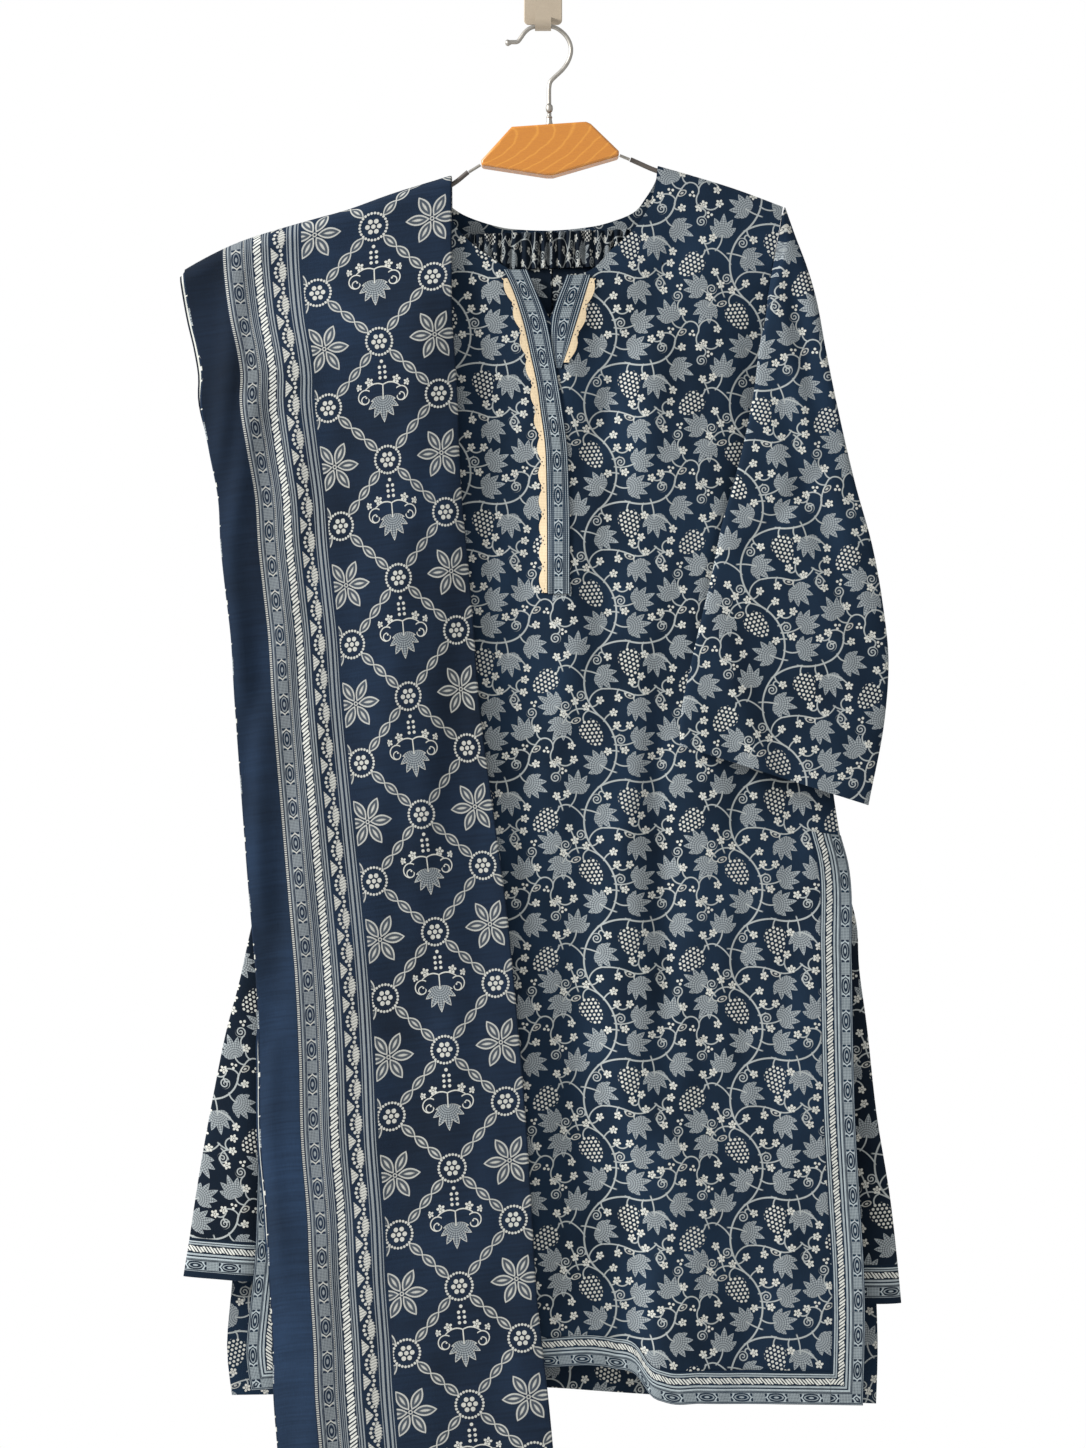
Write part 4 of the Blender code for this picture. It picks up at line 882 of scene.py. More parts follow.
class Value:
    """A number or vector in a node tree, written with the usual operators."""

    def __init__(self, tree, socket):
        self.tree, self.socket = tree, socket

    def __add__(self, other):
        return number("ADD", self, other)

    def __sub__(self, other):
        return number("SUBTRACT", self, other)

    def __rsub__(self, other):
        return number("SUBTRACT", other, self)

    def __mul__(self, other):
        return number("MULTIPLY", self, other)

    def __abs__(self):
        return number("ABSOLUTE", self)

    __radd__, __rmul__ = __add__, __mul__


def add_node(kind, values, **settings):
    """A node with its first inputs filled: links from Values, and settings from other values."""
    tree = next(value.tree for value in values if isinstance(value, Value))
    node = tree.nodes.new(kind)
    for name, setting in settings.items():
        setattr(node, name, setting)
    for plug, value in zip(node.inputs, values):
        if isinstance(value, Value):
            tree.links.new(value.socket, plug)
        elif value is not None:
            plug.default_value = value
    return tree, node


def number(operation, *values, clamp=False):
    tree, node = add_node("ShaderNodeMath", values, operation=operation, use_clamp=clamp)
    return Value(tree, node.outputs[0])


def linear(value, factor, offset, clamp=False):
    return number("MULTIPLY_ADD", value, factor, offset, clamp=clamp)


def vector(operation, *values):
    tree, node = add_node("ShaderNodeVectorMath", values, operation=operation)
    gives_number = operation in ("LENGTH", "DOT_PRODUCT")
    return Value(tree, node.outputs["Value" if gives_number else "Vector"])


def joined(x, y):
    tree, node = add_node("ShaderNodeCombineXYZ", (x, y))
    return Value(tree, node.outputs[0])


def split(place):
    tree, node = add_node("ShaderNodeSeparateXYZ", (place,))
    return [Value(tree, plug) for plug in node.outputs]


def mixed(share, first, second):
    """A colour from first to second, as share goes from 0 to 1."""
    tree, node = add_node("ShaderNodeMix", (share,), data_type="RGBA")
    for plug, value in ((node.inputs[6], first), (node.inputs[7], second)):
        if isinstance(value, Value):
            tree.links.new(value.socket, plug)
        else:
            plug.default_value = (*value, 1)
    return Value(tree, node.outputs[2])


def noise(place, scale, detail):
    """Soft noise. A scale for each axis stretches it."""
    if isinstance(scale, tuple):
        place, scale = vector("MULTIPLY", place, scale), 1.0
    tree, node = add_node("ShaderNodeTexNoise", (place,))
    node.inputs["Scale"].default_value = scale
    node.inputs["Detail"].default_value = detail
    return Value(tree, node.outputs[0])


def under(value, limit, soft=0.35):
    """1 where value is less than limit, turning to 0 over soft."""
    if isinstance(limit, Value):
        return linear(limit - value, 1 / soft, 0.5, clamp=True)
    return linear(value, -1 / soft, limit / soft + 0.5, clamp=True)


def either(*masks):
    whole = masks[0]
    for mask in masks[1:]:
        whole = number("MAXIMUM", whole, mask)
    return whole


def wrapped(value, half):
    """value brought within half of 0 by whole periods."""
    return number("WRAP", value, half, -half)


def stripe(across, low, high):
    return under(abs(across - (low + high) / 2), (high - low) / 2, 0.3)


def wrapped_place(place, half_x, half_y):
    """place brought within half a tile of 0 by whole tiles. Its z is left as it is."""
    high = (half_x, half_y, 1.0)
    return vector("WRAP", place, high, tuple(-h for h in high))


def length_of(x, y):
    return vector("LENGTH", joined(x, y))


def from_polar(radius, angle):
    return radius * number("COSINE", angle), radius * number("SINE", angle)


# ---- the vine print: a repeat of stems grown from turns, with leaves, grapes and flowers ----

TILE = (128.0, 122.0)
STEM_BEND = 44.0  # largest radius of a stem's curve
SHORTEST_TWIG = 0.6
TRUNK_START = (36.0, 0.0, 90.0)  # x, y, heading
TRUNK_TURN = 50  # degrees that the trunk leans to each side
THICK_STEM, THIN_STEM = 0.74, 0.58  # half widths
CURL, CURL_STEP = 4.4, 2.5  # radius of a curl's outer turn, and how far a turn winds in
LEAF, FLOWER = 10.3, 3.7  # sizes
HALF_LOBE = math.radians(13.5)  # of a leaf
# How far from its middle each thing's twig ends, and how far from it the thing reaches
TWIG_ENDS = {"leaf": 9.6, "grape": 11.5, "flower": 2.0, "bud": 4.0}
REACH = {"leaf": 11.4, "curl": 5.0, "grape": 12.8, "flower": 4.0, "bud": 5.0, "dots": 3.6}
THICK_BRANCHES = (  # x, y and heading where each leaves the trunk, and the points it bends through
    (50, 30.5, 20, ((74, 36), (100, 36), (116, 56))),
)
THIN_BRANCHES = (
    (50, 91.5, 150, ((36, 98), (23, 94))),
    (36, 2, 120, ((25, 13), (14, 12))),
    (42, 105, 80, ((56, 116), (76, 112), (99, 118))),
    (116, 56, 70, ((124, 70), (136, 62))),
)
SPRAYS = {  # x, y, heading, and the side that a curl winds to; each joins the stems before it
    "leaf": (
        (110, 81.5, 110), (122, 30, -25), (99, 15, -80), (88, 73, 25), (84, 50, 10),
        (14, 80, 240), (30, 34, 85), (85, 97, -60), (45, 52, 150), (5, 104, 150), (56, 4, -20),
    ),
    "grape": ((76, 17, -80), (43, 77, -55), (2, 0, -142)),
    "flower": (
        (89, 24, -60), (86, 5, 60), (122, 50, 30), (65, 84, 60), (28, 105, 100), (38, 100, 90),
        (12, 22, 120), (21, 24, 70), (66, 108, -70), (111, 113, -10), (78, 122, 60),
        (137, 50, -60), (123, 81, 80), (57, 22, -30), (57, 61, 190), (25, 66, 220),
        (13, 53, 100), (27, 54, 60), (103, 61, 200), (76, 84, 60), (106, 100, 40),
        (50, 106, 60), (62, 95, 20), (90, 114, 20), (114, 12, -60), (112, 2, 0), (23, 116, 120),
        (18, 94, 60), (95, 57, 140), (72, 62, 0),
    ),
    "curl": (
        (47, 19, -30, -1), (104, 49, 120, 1), (102, 106, -60, -1), (20, 101, 170, -1),
        (11, 38, 160, 1), (118, 95, 40, 1), (68, 71, 30, -1), (33, 110, 60, 1),
    ),
    "bud": ((76, 110, -20), (29, 88, 20), (122, 63, 30)),
    "dots": ((146, 44, 0), (120, 103, 40), (3, 62, 80), (112, 65, 20)),
}

# Places in a repeat carry their turn in z: CODE for none, up to 1.9 CODE for a full turn, and
# FLIP_CODE more where they are mirrored. It is too small to matter to a length.
CODE = 0.05
FULL_TURN = 0.9  # of CODE
FLIP_CODE = 0.15


def from_point(spot, x, y, code=0.0):
    """spot measured from the nearest repeat of a point, with the point's code in z."""
    return wrapped_place(vector("SUBTRACT", spot, (x, y, -code)), TILE[0] / 2, TILE[1] / 2)


def pick(spot, places, reach):
    """spot measured from the place that it is within reach of, or 0. Places are x, y, degrees."""
    found = None
    for x, y, turn, *flip in places:
        code = CODE * (1 + FULL_TURN * (turn % 360) / 360) + (FLIP_CODE if flip == [-1] else 0)
        away = from_point(spot, x, y, code)
        near = number("LESS_THAN", vector("LENGTH", away), reach)
        only = vector("SCALE", away, None, None, near)  # a MULTIPLY would fill Cycles' stack
        found = only if found is None else vector("ADD", found, only)
    return found


def polar(found):
    """Radius, angle from the place's own direction, 1 where there is a place, and 1 where it is
    mirrored."""
    x, y, code = split(found)
    here = number("GREATER_THAN", code, CODE / 2)
    flipped = number("GREATER_THAN", code, FLIP_CODE)
    turn = linear(code - flipped * FLIP_CODE, 2 * math.pi / (FULL_TURN * CODE),
                  -2 * math.pi / FULL_TURN)
    angle = wrapped(number("ARCTAN2", y, x) - turn, math.pi)
    return length_of(x, y), angle, here, flipped


def strokes(spot, arcs):
    """Distance from the nearest of some arcs: centre x, y, radius, middle angle, half angle."""
    nearest = None
    for x, y, radius, middle, half in arcs:
        away = from_point(spot, x, y)
        reach = vector("LENGTH", away)
        middle, half = math.radians(middle), math.radians(half)
        back = vector("DOT_PRODUCT", away, (-math.cos(middle), -math.sin(middle), 0.0))
        past = linear(reach, math.cos(half), back)
        near = number("MAXIMUM", abs(reach - radius), past)
        nearest = near if nearest is None else number("MINIMUM", nearest, near)
    return nearest


def grow(x, y, heading, *runs):
    """Arcs of (radius, turn) one after the other from a point, and where they end."""
    arcs = []
    for radius, turn in runs:
        side = 1 if turn > 0 else -1
        a = math.radians(heading + 90 * side)
        centre_x, centre_y = x + radius * math.cos(a), y + radius * math.sin(a)
        start = heading - 90 * side
        arcs.append((centre_x, centre_y, radius, start + turn / 2, abs(turn) / 2))
        end = math.radians(start + turn)
        x, y = centre_x + radius * math.cos(end), centre_y + radius * math.sin(end)
        heading += turn
    return arcs, (x, y, heading)


def arc_between(start, goal, turn_from, most=180):
    """An arc from start to goal, as grow gives it. turn_from gives half of its turn from the
    heading of its chord; STEM_BEND sets the least that this half is, and most the most."""
    chord = math.dist(start, goal)
    straight = math.degrees(math.atan2(goal[1] - start[1], goal[0] - start[0]))
    a = (turn_from(straight) + 180) % 360 - 180
    least = math.degrees(math.asin(min(1, chord / (2 * STEM_BEND))))
    a = math.copysign(min(max(abs(a), least), most), a)
    radius = chord / (2 * math.sin(math.radians(abs(a))))
    return grow(*start, straight - a, (radius, 2 * a))


class Vine:
    """The places of everything in one repeat. Headings are degrees, anticlockwise from across."""

    def __init__(self):
        self.thin = []
        self.places = {kind: [] for kind in SPRAYS}
        radius = TILE[1] / (4 * math.sin(math.radians(TRUNK_TURN)))
        self.thick, _ = grow(*TRUNK_START, (radius, -TRUNK_TURN), (radius, 2 * TRUNK_TURN),
                             (radius, -TRUNK_TURN))
        for stems, branches in ((self.thick, THICK_BRANCHES), (self.thin, THIN_BRANCHES)):
            for *start, targets in branches:
                pose = (*self.on_stem(*start[:2]), start[2])
                for target in targets:
                    pose = self.bend(stems, pose, target)
        for kind, rows in SPRAYS.items():
            for row in rows:
                self.spray(kind, *row)

    def on_stem(self, x, y):
        """The point nearest to x, y on the stems so far."""
        best = None
        for centre_x, centre_y, radius, middle, half in self.thick + self.thin:
            for step_x in (-TILE[0], 0, TILE[0]):
                for step_y in (-TILE[1], 0, TILE[1]):
                    cx, cy = centre_x + step_x, centre_y + step_y
                    off = (math.degrees(math.atan2(y - cy, x - cx)) - middle + 180) % 360 - 180
                    a = math.radians(middle + max(-half, min(half, off)))
                    found = (cx + radius * math.cos(a), cy + radius * math.sin(a))
                    away = math.dist(found, (x, y))
                    if best is None or away < best[0]:
                        best = (away, found)
        return best[1]

    def bend(self, stems, pose, target):
        """An arc that leaves pose in its heading, or as near to it as STEM_BEND lets it."""
        *start, heading = pose
        arcs, end = arc_between(start, target, lambda straight: straight - heading)
        stems += arcs
        return end

    def twig(self, x, y, heading):
        """A thin arc from the nearest stem that arrives at x, y in that heading."""
        start = self.on_stem(x, y)
        if math.dist(start, (x, y)) >= SHORTEST_TWIG:
            arcs, _ = arc_between(start, (x, y), lambda straight: heading - straight, most=80)
            self.thin += arcs

    def spray(self, kind, x, y, heading, side=1):
        """A leaf, bunch, flower, curl or bud centred at x, y, on a twig that comes in heading."""
        if kind == "curl":
            a = math.radians(heading + 90 * side)
            self.twig(x - CURL * math.cos(a), y - CURL * math.sin(a), heading)
            self.places[kind].append((x, y, heading - 90 * side, side))
            return
        if kind in TWIG_ENDS:
            a, back = math.radians(heading), TWIG_ENDS[kind]
            self.twig(x - back * math.cos(a), y - back * math.sin(a), heading)
        self.places[kind].append((x, y, heading))


def leaf_masks(radius, angle, here, size):
    """A leaf that fans out from its stem in five pointed lobes over two round ones: its body, its
    outline, and the dots that fill it."""
    aside = radius * number("SINE", angle)
    from_base = linear(radius, number("COSINE", angle), size * 0.95)
    reach, ray = length_of(from_base, aside), abs(number("ARCTAN2", aside, from_base))
    lobe = number("PINGPONG", ray, HALF_LOBE) * (0.36 / HALF_LOBE)
    fan = linear(ray, -0.56, 2.02) * (1 - lobe)
    edge = number("MINIMUM", fan, linear(ray, -1.8, 3.36)) * size
    body = under(reach, edge, 0.5) * here
    outline = under(abs(reach - edge + 0.4), 0.5) * here
    rays = number("COSINE", ray * 34) * 0.5
    rings = number("COSINE", reach * (2 * math.pi / 2.0)) * 0.5
    dots = linear(rays + rings, 1.8, 0.35, clamp=True)
    return body, outline, dots


def flower_mask(radius, angle, here, size):
    """Five petals round a seed."""
    petals = number("POWER", abs(number("COSINE", angle * 2.5)), 0.8)
    edge = (petals * 0.68 + 0.32) * size
    ring = under(abs(radius - size * 0.3), size * 0.06)
    return under(radius, edge) * (1 - ring) * here


def flower_at(x, y, size):
    return flower_mask(length_of(x, y), number("ARCTAN2", y, x), 1.0, size)


def curl_mask(radius, angle, here, flipped):
    """A line that winds in from CURL."""
    handed = 1 - 2 * flipped
    turn = number("WRAP", angle * handed, 2 * math.pi, 0.0)
    arm = (CURL - radius) * (1 / CURL_STEP) - turn * (1 / (2 * math.pi))
    off = abs(wrapped(arm, 0.5)) * CURL_STEP
    return under(off, 0.52) * under(radius, CURL + 0.35) * under(-1 * radius, -0.5) * here


def grape_mask(radius, angle, here):
    """A bunch: whole dots within a teardrop."""
    along, aside = from_polar(radius, angle)
    pitch = 3.9
    half = (pitch / 2, pitch * 0.866)
    place = joined(along, aside)
    first = vector("LENGTH", wrapped_place(place, *half))
    second = vector("LENGTH", wrapped_place(vector("ADD", place, (*half, 0.0)), *half))
    dots = under(number("MINIMUM", first, second), 1.2)
    taper = linear(along, 0.022, 1.0)
    width = length_of(along * (1 / 12.6), aside * (1 / 9.2) * taper)
    return dots * under(width, 1.0, 0.06) * here


def bud_mask(radius, angle, here):
    """An oval outline round a seed."""
    along, aside = from_polar(radius, angle)
    round_it = length_of(along * (1 / 4.4), aside * (1 / 2.5))
    return either(under(abs(round_it - 0.88), 0.14, 0.12), under(round_it, 0.35, 0.15)) * here


def dot_ring(radius, angle, count, out, size):
    """Dots in a ring, out from its middle."""
    along, aside = from_polar(radius, wrapped(angle, math.pi / count))
    return under(length_of(along - out, aside), size)


def vine_group():
    """The vine print's masks as a group of nodes: leaves, stems, and pale flowers and bunches."""
    group = bpy.data.node_groups.new("vine_masks", "ShaderNodeTree")
    group.interface.new_socket("Place", in_out="INPUT", socket_type="NodeSocketVector")
    for name in ("Leaves", "Stems", "Pale"):
        group.interface.new_socket(name, in_out="OUTPUT", socket_type="NodeSocketFloat")
    spot = Value(group, group.nodes.new("NodeGroupInput").outputs[0])
    vine = Vine()

    def places(kind):
        return polar(pick(spot, vine.places[kind], REACH[kind]))

    body, outline, dots = leaf_masks(*places("leaf")[:3], LEAF)
    leaves = either(body * (0.32 + 0.68 * dots), outline)
    stems = either(under(strokes(spot, vine.thick), THICK_STEM),
                   under(strokes(spot, vine.thin), THIN_STEM), curl_mask(*places("curl")))
    pale = [
        grape_mask(*places("grape")[:3]),
        flower_mask(*places("flower")[:3], FLOWER),
        bud_mask(*places("bud")[:3]) * 0.7,
    ]
    radius, angle, here, _ = places("dots")
    pale = either(*pale, dot_ring(radius, angle, 3, 2.0, 1.15) * here)
    out = group.nodes.new("NodeGroupOutput")
    for mask, plug in zip((leaves, stems, pale), out.inputs):
        group.links.new(mask.socket, plug)
    return group


def vine_colours(spot, ground):
    """The print over a ground colour."""
    node = spot.tree.nodes.new("ShaderNodeGroup")
    node.node_tree = VINE_MASKS
    spot.tree.links.new(spot.socket, node.inputs[0])
    leaves, stems, pale = (Value(spot.tree, plug) for plug in node.outputs)
    return mixed(pale, mixed(stems, mixed(leaves, ground, LEAF_GREY), STEM_GREY), PALE)


VINE_MASKS = vine_group()


# ---- the border prints ----

STRIP_PRINT = 20.0  # the neck strips' print is this wide
BORDER_LINES = (  # across the slit and hem border, in from its outer edge: from, to, how pale
    (11.6, 13.2, 0.9), (14.5, 16.2, 0.8), (23.8, 25.0, 0.75), (25.8, 26.9, 0.9),
)

def medallions(across, along, half_width, pitch=30.6):
    """A band of upright ovals with a woven block between each two, about across = 0: where it is
    dark, and where it is pale."""
    place = wrapped(along, pitch / 2)
    x, y = across * (1 / (half_width * 0.62)), place * (1 / (pitch * 0.27))
    ring = length_of(x, y)
    dark = either(under(abs(ring - 0.98), 0.2, 0.1), under(abs(ring - 0.45), 0.18, 0.1))
    between = wrapped(along - pitch / 2, pitch / 2)
    ticks = under(abs(abs(between) - 6.4), 1.0, 0.4) * under(
        abs(abs(across) - half_width * 0.4), half_width * 0.3)
    sides = under(abs(abs(across) - half_width * 0.86), 0.45)
    chevron = under(abs(abs(place) - 8.6 + abs(across) * 0.75), 0.65) * under(
        abs(across), half_width * 0.62)
    knots = number("SINE", (across + along) * 2.4) * number("SINE", (across - along) * 2.4)
    block = linear(knots, 1.4, 0.3, clamp=True) * under(abs(between), 5.2)
    return either(dark * under(abs(place), 9.0), ticks, sides, block * 0.8), chevron


def cream_chain(across, along, low, high, period):
    """Slanting cream strokes between two lines, uneven in length and in thickness."""
    middle, half = (low + high) / 2, (high - low) / 2
    x = (across - middle) * (1 / half)
    wander = number("SINE", along * 0.43) * 0.12 + number("SINE", along * 1.1) * 0.1
    slant = abs(wrapped(along + x * (period * 0.7), period / 2)) * (2 / period)
    thick = number("SINE", along * 0.71 + 1.0) * 0.1 + 0.6
    return under(slant, thick, 0.35) * under(abs(x + wander), 0.86, 0.2)


def border_masks(across, along):
    """How pale and how cream the slit and hem border is; across runs in from its outer edge."""
    dark, chevron = medallions(across - 5.9, along, 5.1)
    band = stripe(across, 0.6, 11.0)
    pale = either(
        band * (0.74 - 0.74 * dark),
        chevron * band,
        *(stripe(across, low, high) * share for low, high, share in BORDER_LINES),
    )
    return pale, cream_chain(across, along, 17.3, 22.9, 3.0)


def strip_masks(across, along):
    """The neck strips' print, the same on both sides of its middle."""
    off = abs(across - STRIP_PRINT / 2)
    dark, chevron = medallions(across - STRIP_PRINT / 2, along, 5.2)
    edges = either(stripe(off, 5.2, 6.5), stripe(off, 7.1, 8.3), under(-1 * off, -9.2))
    threads = linear(number("SINE", along * 3.4), 0.16, 0.78)
    return either(threads - either(edges, dark * under(off, 5.2)), chevron)


# ---- the dupatta's print ----

LATTICE = 103.5  # along the cloth, from ring to ring
RING_COLUMN, NEXT_COLUMN = 166.3, 217.0  # across the cloth
RING = 11.8
DUPATTA_LINES = (  # across the cloth from its edge: from, to
    (39.2, 40.6), (54.6, 55.6), (56.8, 57.3), (58.3, 58.9), (59.9, 60.8), (69.8, 70.4),
    (71.5, 72.8), (74.0, 75.2), (91.0, 91.7), (93.2, 95.4), (97.4, 99.2), (100.6, 101.4),
)


def tulips(across, along):
    """Triangles on one side and jagged tulips on the other in turn, and a chain of dots that winds
    between them."""
    pitch = 30.0
    x = across - 83.4
    place, other = wrapped(along, pitch / 2), wrapped(along - pitch / 2, pitch / 2)
    triangle = number("MAXIMUM", abs(place) + (x + 6.0) * 1.1 - 7.4, -6.0 - x)
    jagged = abs(number("SINE", other * 1.1)) * 0.4
    tulip = abs(x - 3.3) * (1 / 3.8) + number("POWER", other * (1 / 10.5), 2.0) + jagged
    step = wrapped(along, pitch / 16)
    wound = number("COSINE", (along - step) * (2 * math.pi / pitch)) * 3.2
    dots = length_of(x - wound, step)
    veins = under(abs(wrapped(along + x * 0.35, 1.25)), 0.3)
    shapes = either(under(triangle, 0.0), under(tulip, 1.1, 0.15)) * (1 - veins * 0.75)
    return either(shapes, under(dots, 1.35)) * 0.85


def dotted_ring(x, y):
    """A ring of beads round a rosette of seven dots."""
    radius = length_of(x, y)
    angle = number("ARCTAN2", y, x)
    bead = wrapped(angle, math.pi / 26) * RING
    ring = under(length_of(bead, radius - RING), 1.12)
    return either(ring, dot_ring(radius, angle, 6, 5.1, 2.0), under(radius, 1.9))


def almond(along, aside, half_length, half_width):
    """0 at an almond's middle and 1 at its edge."""
    share = along * (1 / half_length)
    return abs(aside) * (1 / half_width) + share * share


def almond_masks(level):
    """An outline and a small pale seed."""
    return either(under(abs(level - 0.88), 0.15, 0.12), under(level, 0.22, 0.2))


def links(x, y, run, rise):
    """Three almond links in a row from one ring to the next; x and y are from the first ring."""
    length = math.hypot(run, rise)
    along = x * (run / length) + y * (rise / length)
    aside = y * (run / length) - x * (rise / length)
    clear = RING + 0.8
    pitch = (length - 2 * clear) / 3
    place = wrapped(along - (clear + pitch / 2), pitch / 2)
    level = almond(place, aside, pitch * 0.54, 3.9)
    within = under(abs(along - length / 2), length / 2 - clear + 0.3)
    body = under(level, 1.0, 0.2) * within
    return almond_masks(level) * within, body


def six_petals(x, y):
    """A flower of six almonds round a small ring: its lines, and its body."""
    radius, angle = length_of(x, y), number("ARCTAN2", y, x)
    along, aside = from_polar(radius, wrapped(angle, math.pi / 6))
    level = almond(along - 12.6, aside, 10.2, 4.6)
    centre = under(abs(radius - 1.5), 0.5)
    return either(almond_masks(level), centre), under(level, 1.0, 0.2)


def hanging_leaf(x, y):
    """A leaf that hangs from two curling tendrils, with flowers on them and dots above; y runs up
    the cloth."""
    radius = length_of(x, y + 7.0)
    angle = number("ARCTAN2", x, -1 * (y + 7.0))
    body, outline, dots = leaf_masks(radius, angle, under(radius, 16), 11.3)
    side = abs(x)
    stem = under(side, 0.5) * stripe(y, 1.0, 14.5)
    arm = under(abs(y - 15.5 + (side - 6.0) * (side - 6.0) * 0.045), 0.55) * under(side, 16.0)
    turn_x, turn_y = side - 16.2, y - 4.6
    turn = length_of(turn_x, turn_y)
    inner_turn = length_of(turn_x, turn_y + 2.6)
    curl = either(under(abs(turn - 6.2), 0.48) * under(-1 * turn_x - turn_y * 0.4, 2.0),
                  under(abs(inner_turn - 3.4), 0.45) * under(turn_y - turn_x, 1.5),
                  under(length_of(turn_x + 1.0, turn_y + 0.6), 0.8))
    flower = flower_at(side - 12.5, y - 17.4, 3.9)
    far_flower = flower_at(side - 22.0, y - 13.6, 3.1)
    row = wrapped(y - 20.0, 2.3)
    column = under(length_of(side - 2.4, row), 1.4) * under(abs(y - 24.6), 6.9)
    column = either(column, under(length_of(x, y - 34.2), 1.5))
    pale = either(outline * 0.8, stem, arm, curl, flower, far_flower, column)
    return pale, body * (0.24 + 0.76 * dots)


def lattice(across, along):
    """Rings at the crossings of a lattice of almond links, and a flower or a leaf in each field:
    how pale it is, and how grey."""
    half = LATTICE / 2
    column = NEXT_COLUMN - RING_COLUMN
    x = wrapped(across - RING_COLUMN, column)  # from the ring column, for two columns each way
    y = wrapped(-1 * along, half)
    corner_x, corner_y = column - abs(x), half - abs(y)
    rings = either(dotted_ring(x, y), dotted_ring(corner_x, corner_y))
    chain, chain_body = links(abs(x), abs(y), column, half)
    flower, flower_body = six_petals(corner_x, y)
    leaf_y = wrapped(-1 * along - half, half)
    leaf, leaf_body = hanging_leaf(x, leaf_y)
    near_leaf = under(abs(x), 24)
    pale = either(rings * 0.92, chain * 0.78, flower * 0.77, leaf * near_leaf)
    grey = either(chain_body * 0.16, flower_body * 0.16, leaf_body * near_leaf)
    return pale, grey


def dupatta_masks(u, v):
    """How pale, how grey and how cream the dupatta's print is."""
    across = number("MINIMUM", u, DUPATTA_WIDTH - u)
    toothed = under(abs(wrapped(v, 0.95)), 0.55) * stripe(across, 35.8, 38.0)
    dark, chevron = medallions(across - 47.1, v, 6.0, 30.3)
    zone = stripe(across, 41.2, 53.2)
    grey_lines = either(
        zone * (0.74 - 0.74 * dark),
        *(stripe(across, low, high) * 0.76 for low, high in DUPATTA_LINES),
    )
    beads = under(abs(wrapped(v, 0.8)), 0.45) * stripe(across, 53.4, 54.2)
    pale, grey = lattice(across, v)
    field = under(-1 * across, -104.0)
    pale = either(pale * field, toothed * 0.85, beads * 0.8, chevron * zone * 0.8,
                  tulips(across, v))
    return pale, either(grey * field, grey_lines), cream_chain(across, v, 61.8, 69.2, 3.4)


# ---- materials; colours are linear ----

NAVY = (0.00252, 0.00684, 0.01404)
NAVY_LIGHT = (0.0054, 0.01404, 0.0288)
# Painted shade: a darker navy ground for the trousers and the waistband, which hang in shade inside
# the kameez
NAVY_PAINTED_SHADE = (0.00108, 0.00288, 0.00612)
LEAF_GREY = (0.182, 0.201, 0.208)
STEM_GREY = (0.21, 0.225, 0.222)
PALE = (0.3312, 0.3312, 0.3024)
CREAM_THREAD = (0.39, 0.395, 0.365)
BORDER_GREY = (0.242, 0.277, 0.289)
DUPATTA_NAVY = (0.00468, 0.009, 0.0172)
DUPATTA_LIGHT = (0.00775, 0.01643, 0.034)
LACE_CREAM, LACE_HOLE = (0.5, 0.4, 0.265), (0.12, 0.1, 0.08)


def new_material(name, roughness, metallic=0.0):
    made = bpy.data.materials.new(name)
    made.use_nodes = True
    shader = made.node_tree.nodes["Principled BSDF"]
    shader.inputs["Roughness"].default_value = roughness
    shader.inputs["Metallic"].default_value = metallic
    return made, made.node_tree, shader


def cloth_place(tree):
    """Millimetres on the flat cloth."""
    place = tree.nodes.new("ShaderNodeUVMap")
    place.uv_map = CLOTH_MAP
    return vector("MULTIPLY", Value(tree, place.outputs["UV"]), (1 / MM, 1 / MM, 0.0))


def object_place(tree):
    """Millimetres in the object's own space."""
    place = tree.nodes.new("ShaderNodeTexCoord")
    return vector("MULTIPLY", Value(tree, place.outputs["Object"]), (1 / MM,) * 3)


def bumped(tree, shader, height, distance, strength=0.5):
    bump_node = tree.nodes.new("ShaderNodeBump")
    bump_node.inputs["Distance"].default_value = distance
    bump_node.inputs["Strength"].default_value = strength
    tree.links.new(height.socket, bump_node.inputs["Height"])
    tree.links.new(bump_node.outputs["Normal"], shader.inputs["Normal"])


def painted(tree, shader, colour, roughness):
    tree.links.new(colour.socket, shader.inputs["Base Color"])
    tree.links.new(roughness.socket, shader.inputs["Roughness"])


def woven(tree, shader, place, colour, pitch=0.7, depth=0.00012):
    """Finishes a cotton: its colour, and the bump of its weave with slubs."""
    x, y, _ = split(place)
    threads = number("SINE", x * (2 * math.pi / pitch)) * number("SINE", y * (2 * math.pi / pitch))
    slubs = noise(place, (0.9, 0.12, 0.0), 3.0)
    bumped(tree, shader, linear(threads, 0.5, slubs * 1.6), depth, 0.7)
    varied = vector("MULTIPLY", colour, linear(slubs, 0.35, 0.83))
    painted(tree, shader, varied, linear(slubs, 0.16, 0.8))
    shader.inputs["Specular IOR Level"].default_value = 0.08


def dyed(place, dark, light):
    """A dye that took unevenly."""
    taken = linear(noise(place, 0.011, 3.0), 2.2, -0.6, clamp=True)
    return mixed(taken, dark, light)


def cotton(name, colour_of, roughness=0.85, **weave):
    """A woven material whose colour is a function of the place on the flat cloth."""
    made, tree, shader = new_material(name, roughness)
    place = cloth_place(tree)
    woven(tree, shader, place, colour_of(place), **weave)
    return made


def vine_print(place):
    return vine_colours(place, dyed(place, NAVY, NAVY_LIGHT))


def waist_print_painted_shade(place):
    """The vine print on the darker navy, scaled by 0.72 all over: painted shade for the waistband,
    which lies in the shade of the kameez's neck.
    """
    return vector("SCALE", vine_colours(place, dyed(place, NAVY_PAINTED_SHADE, NAVY)), None, None, 0.72)


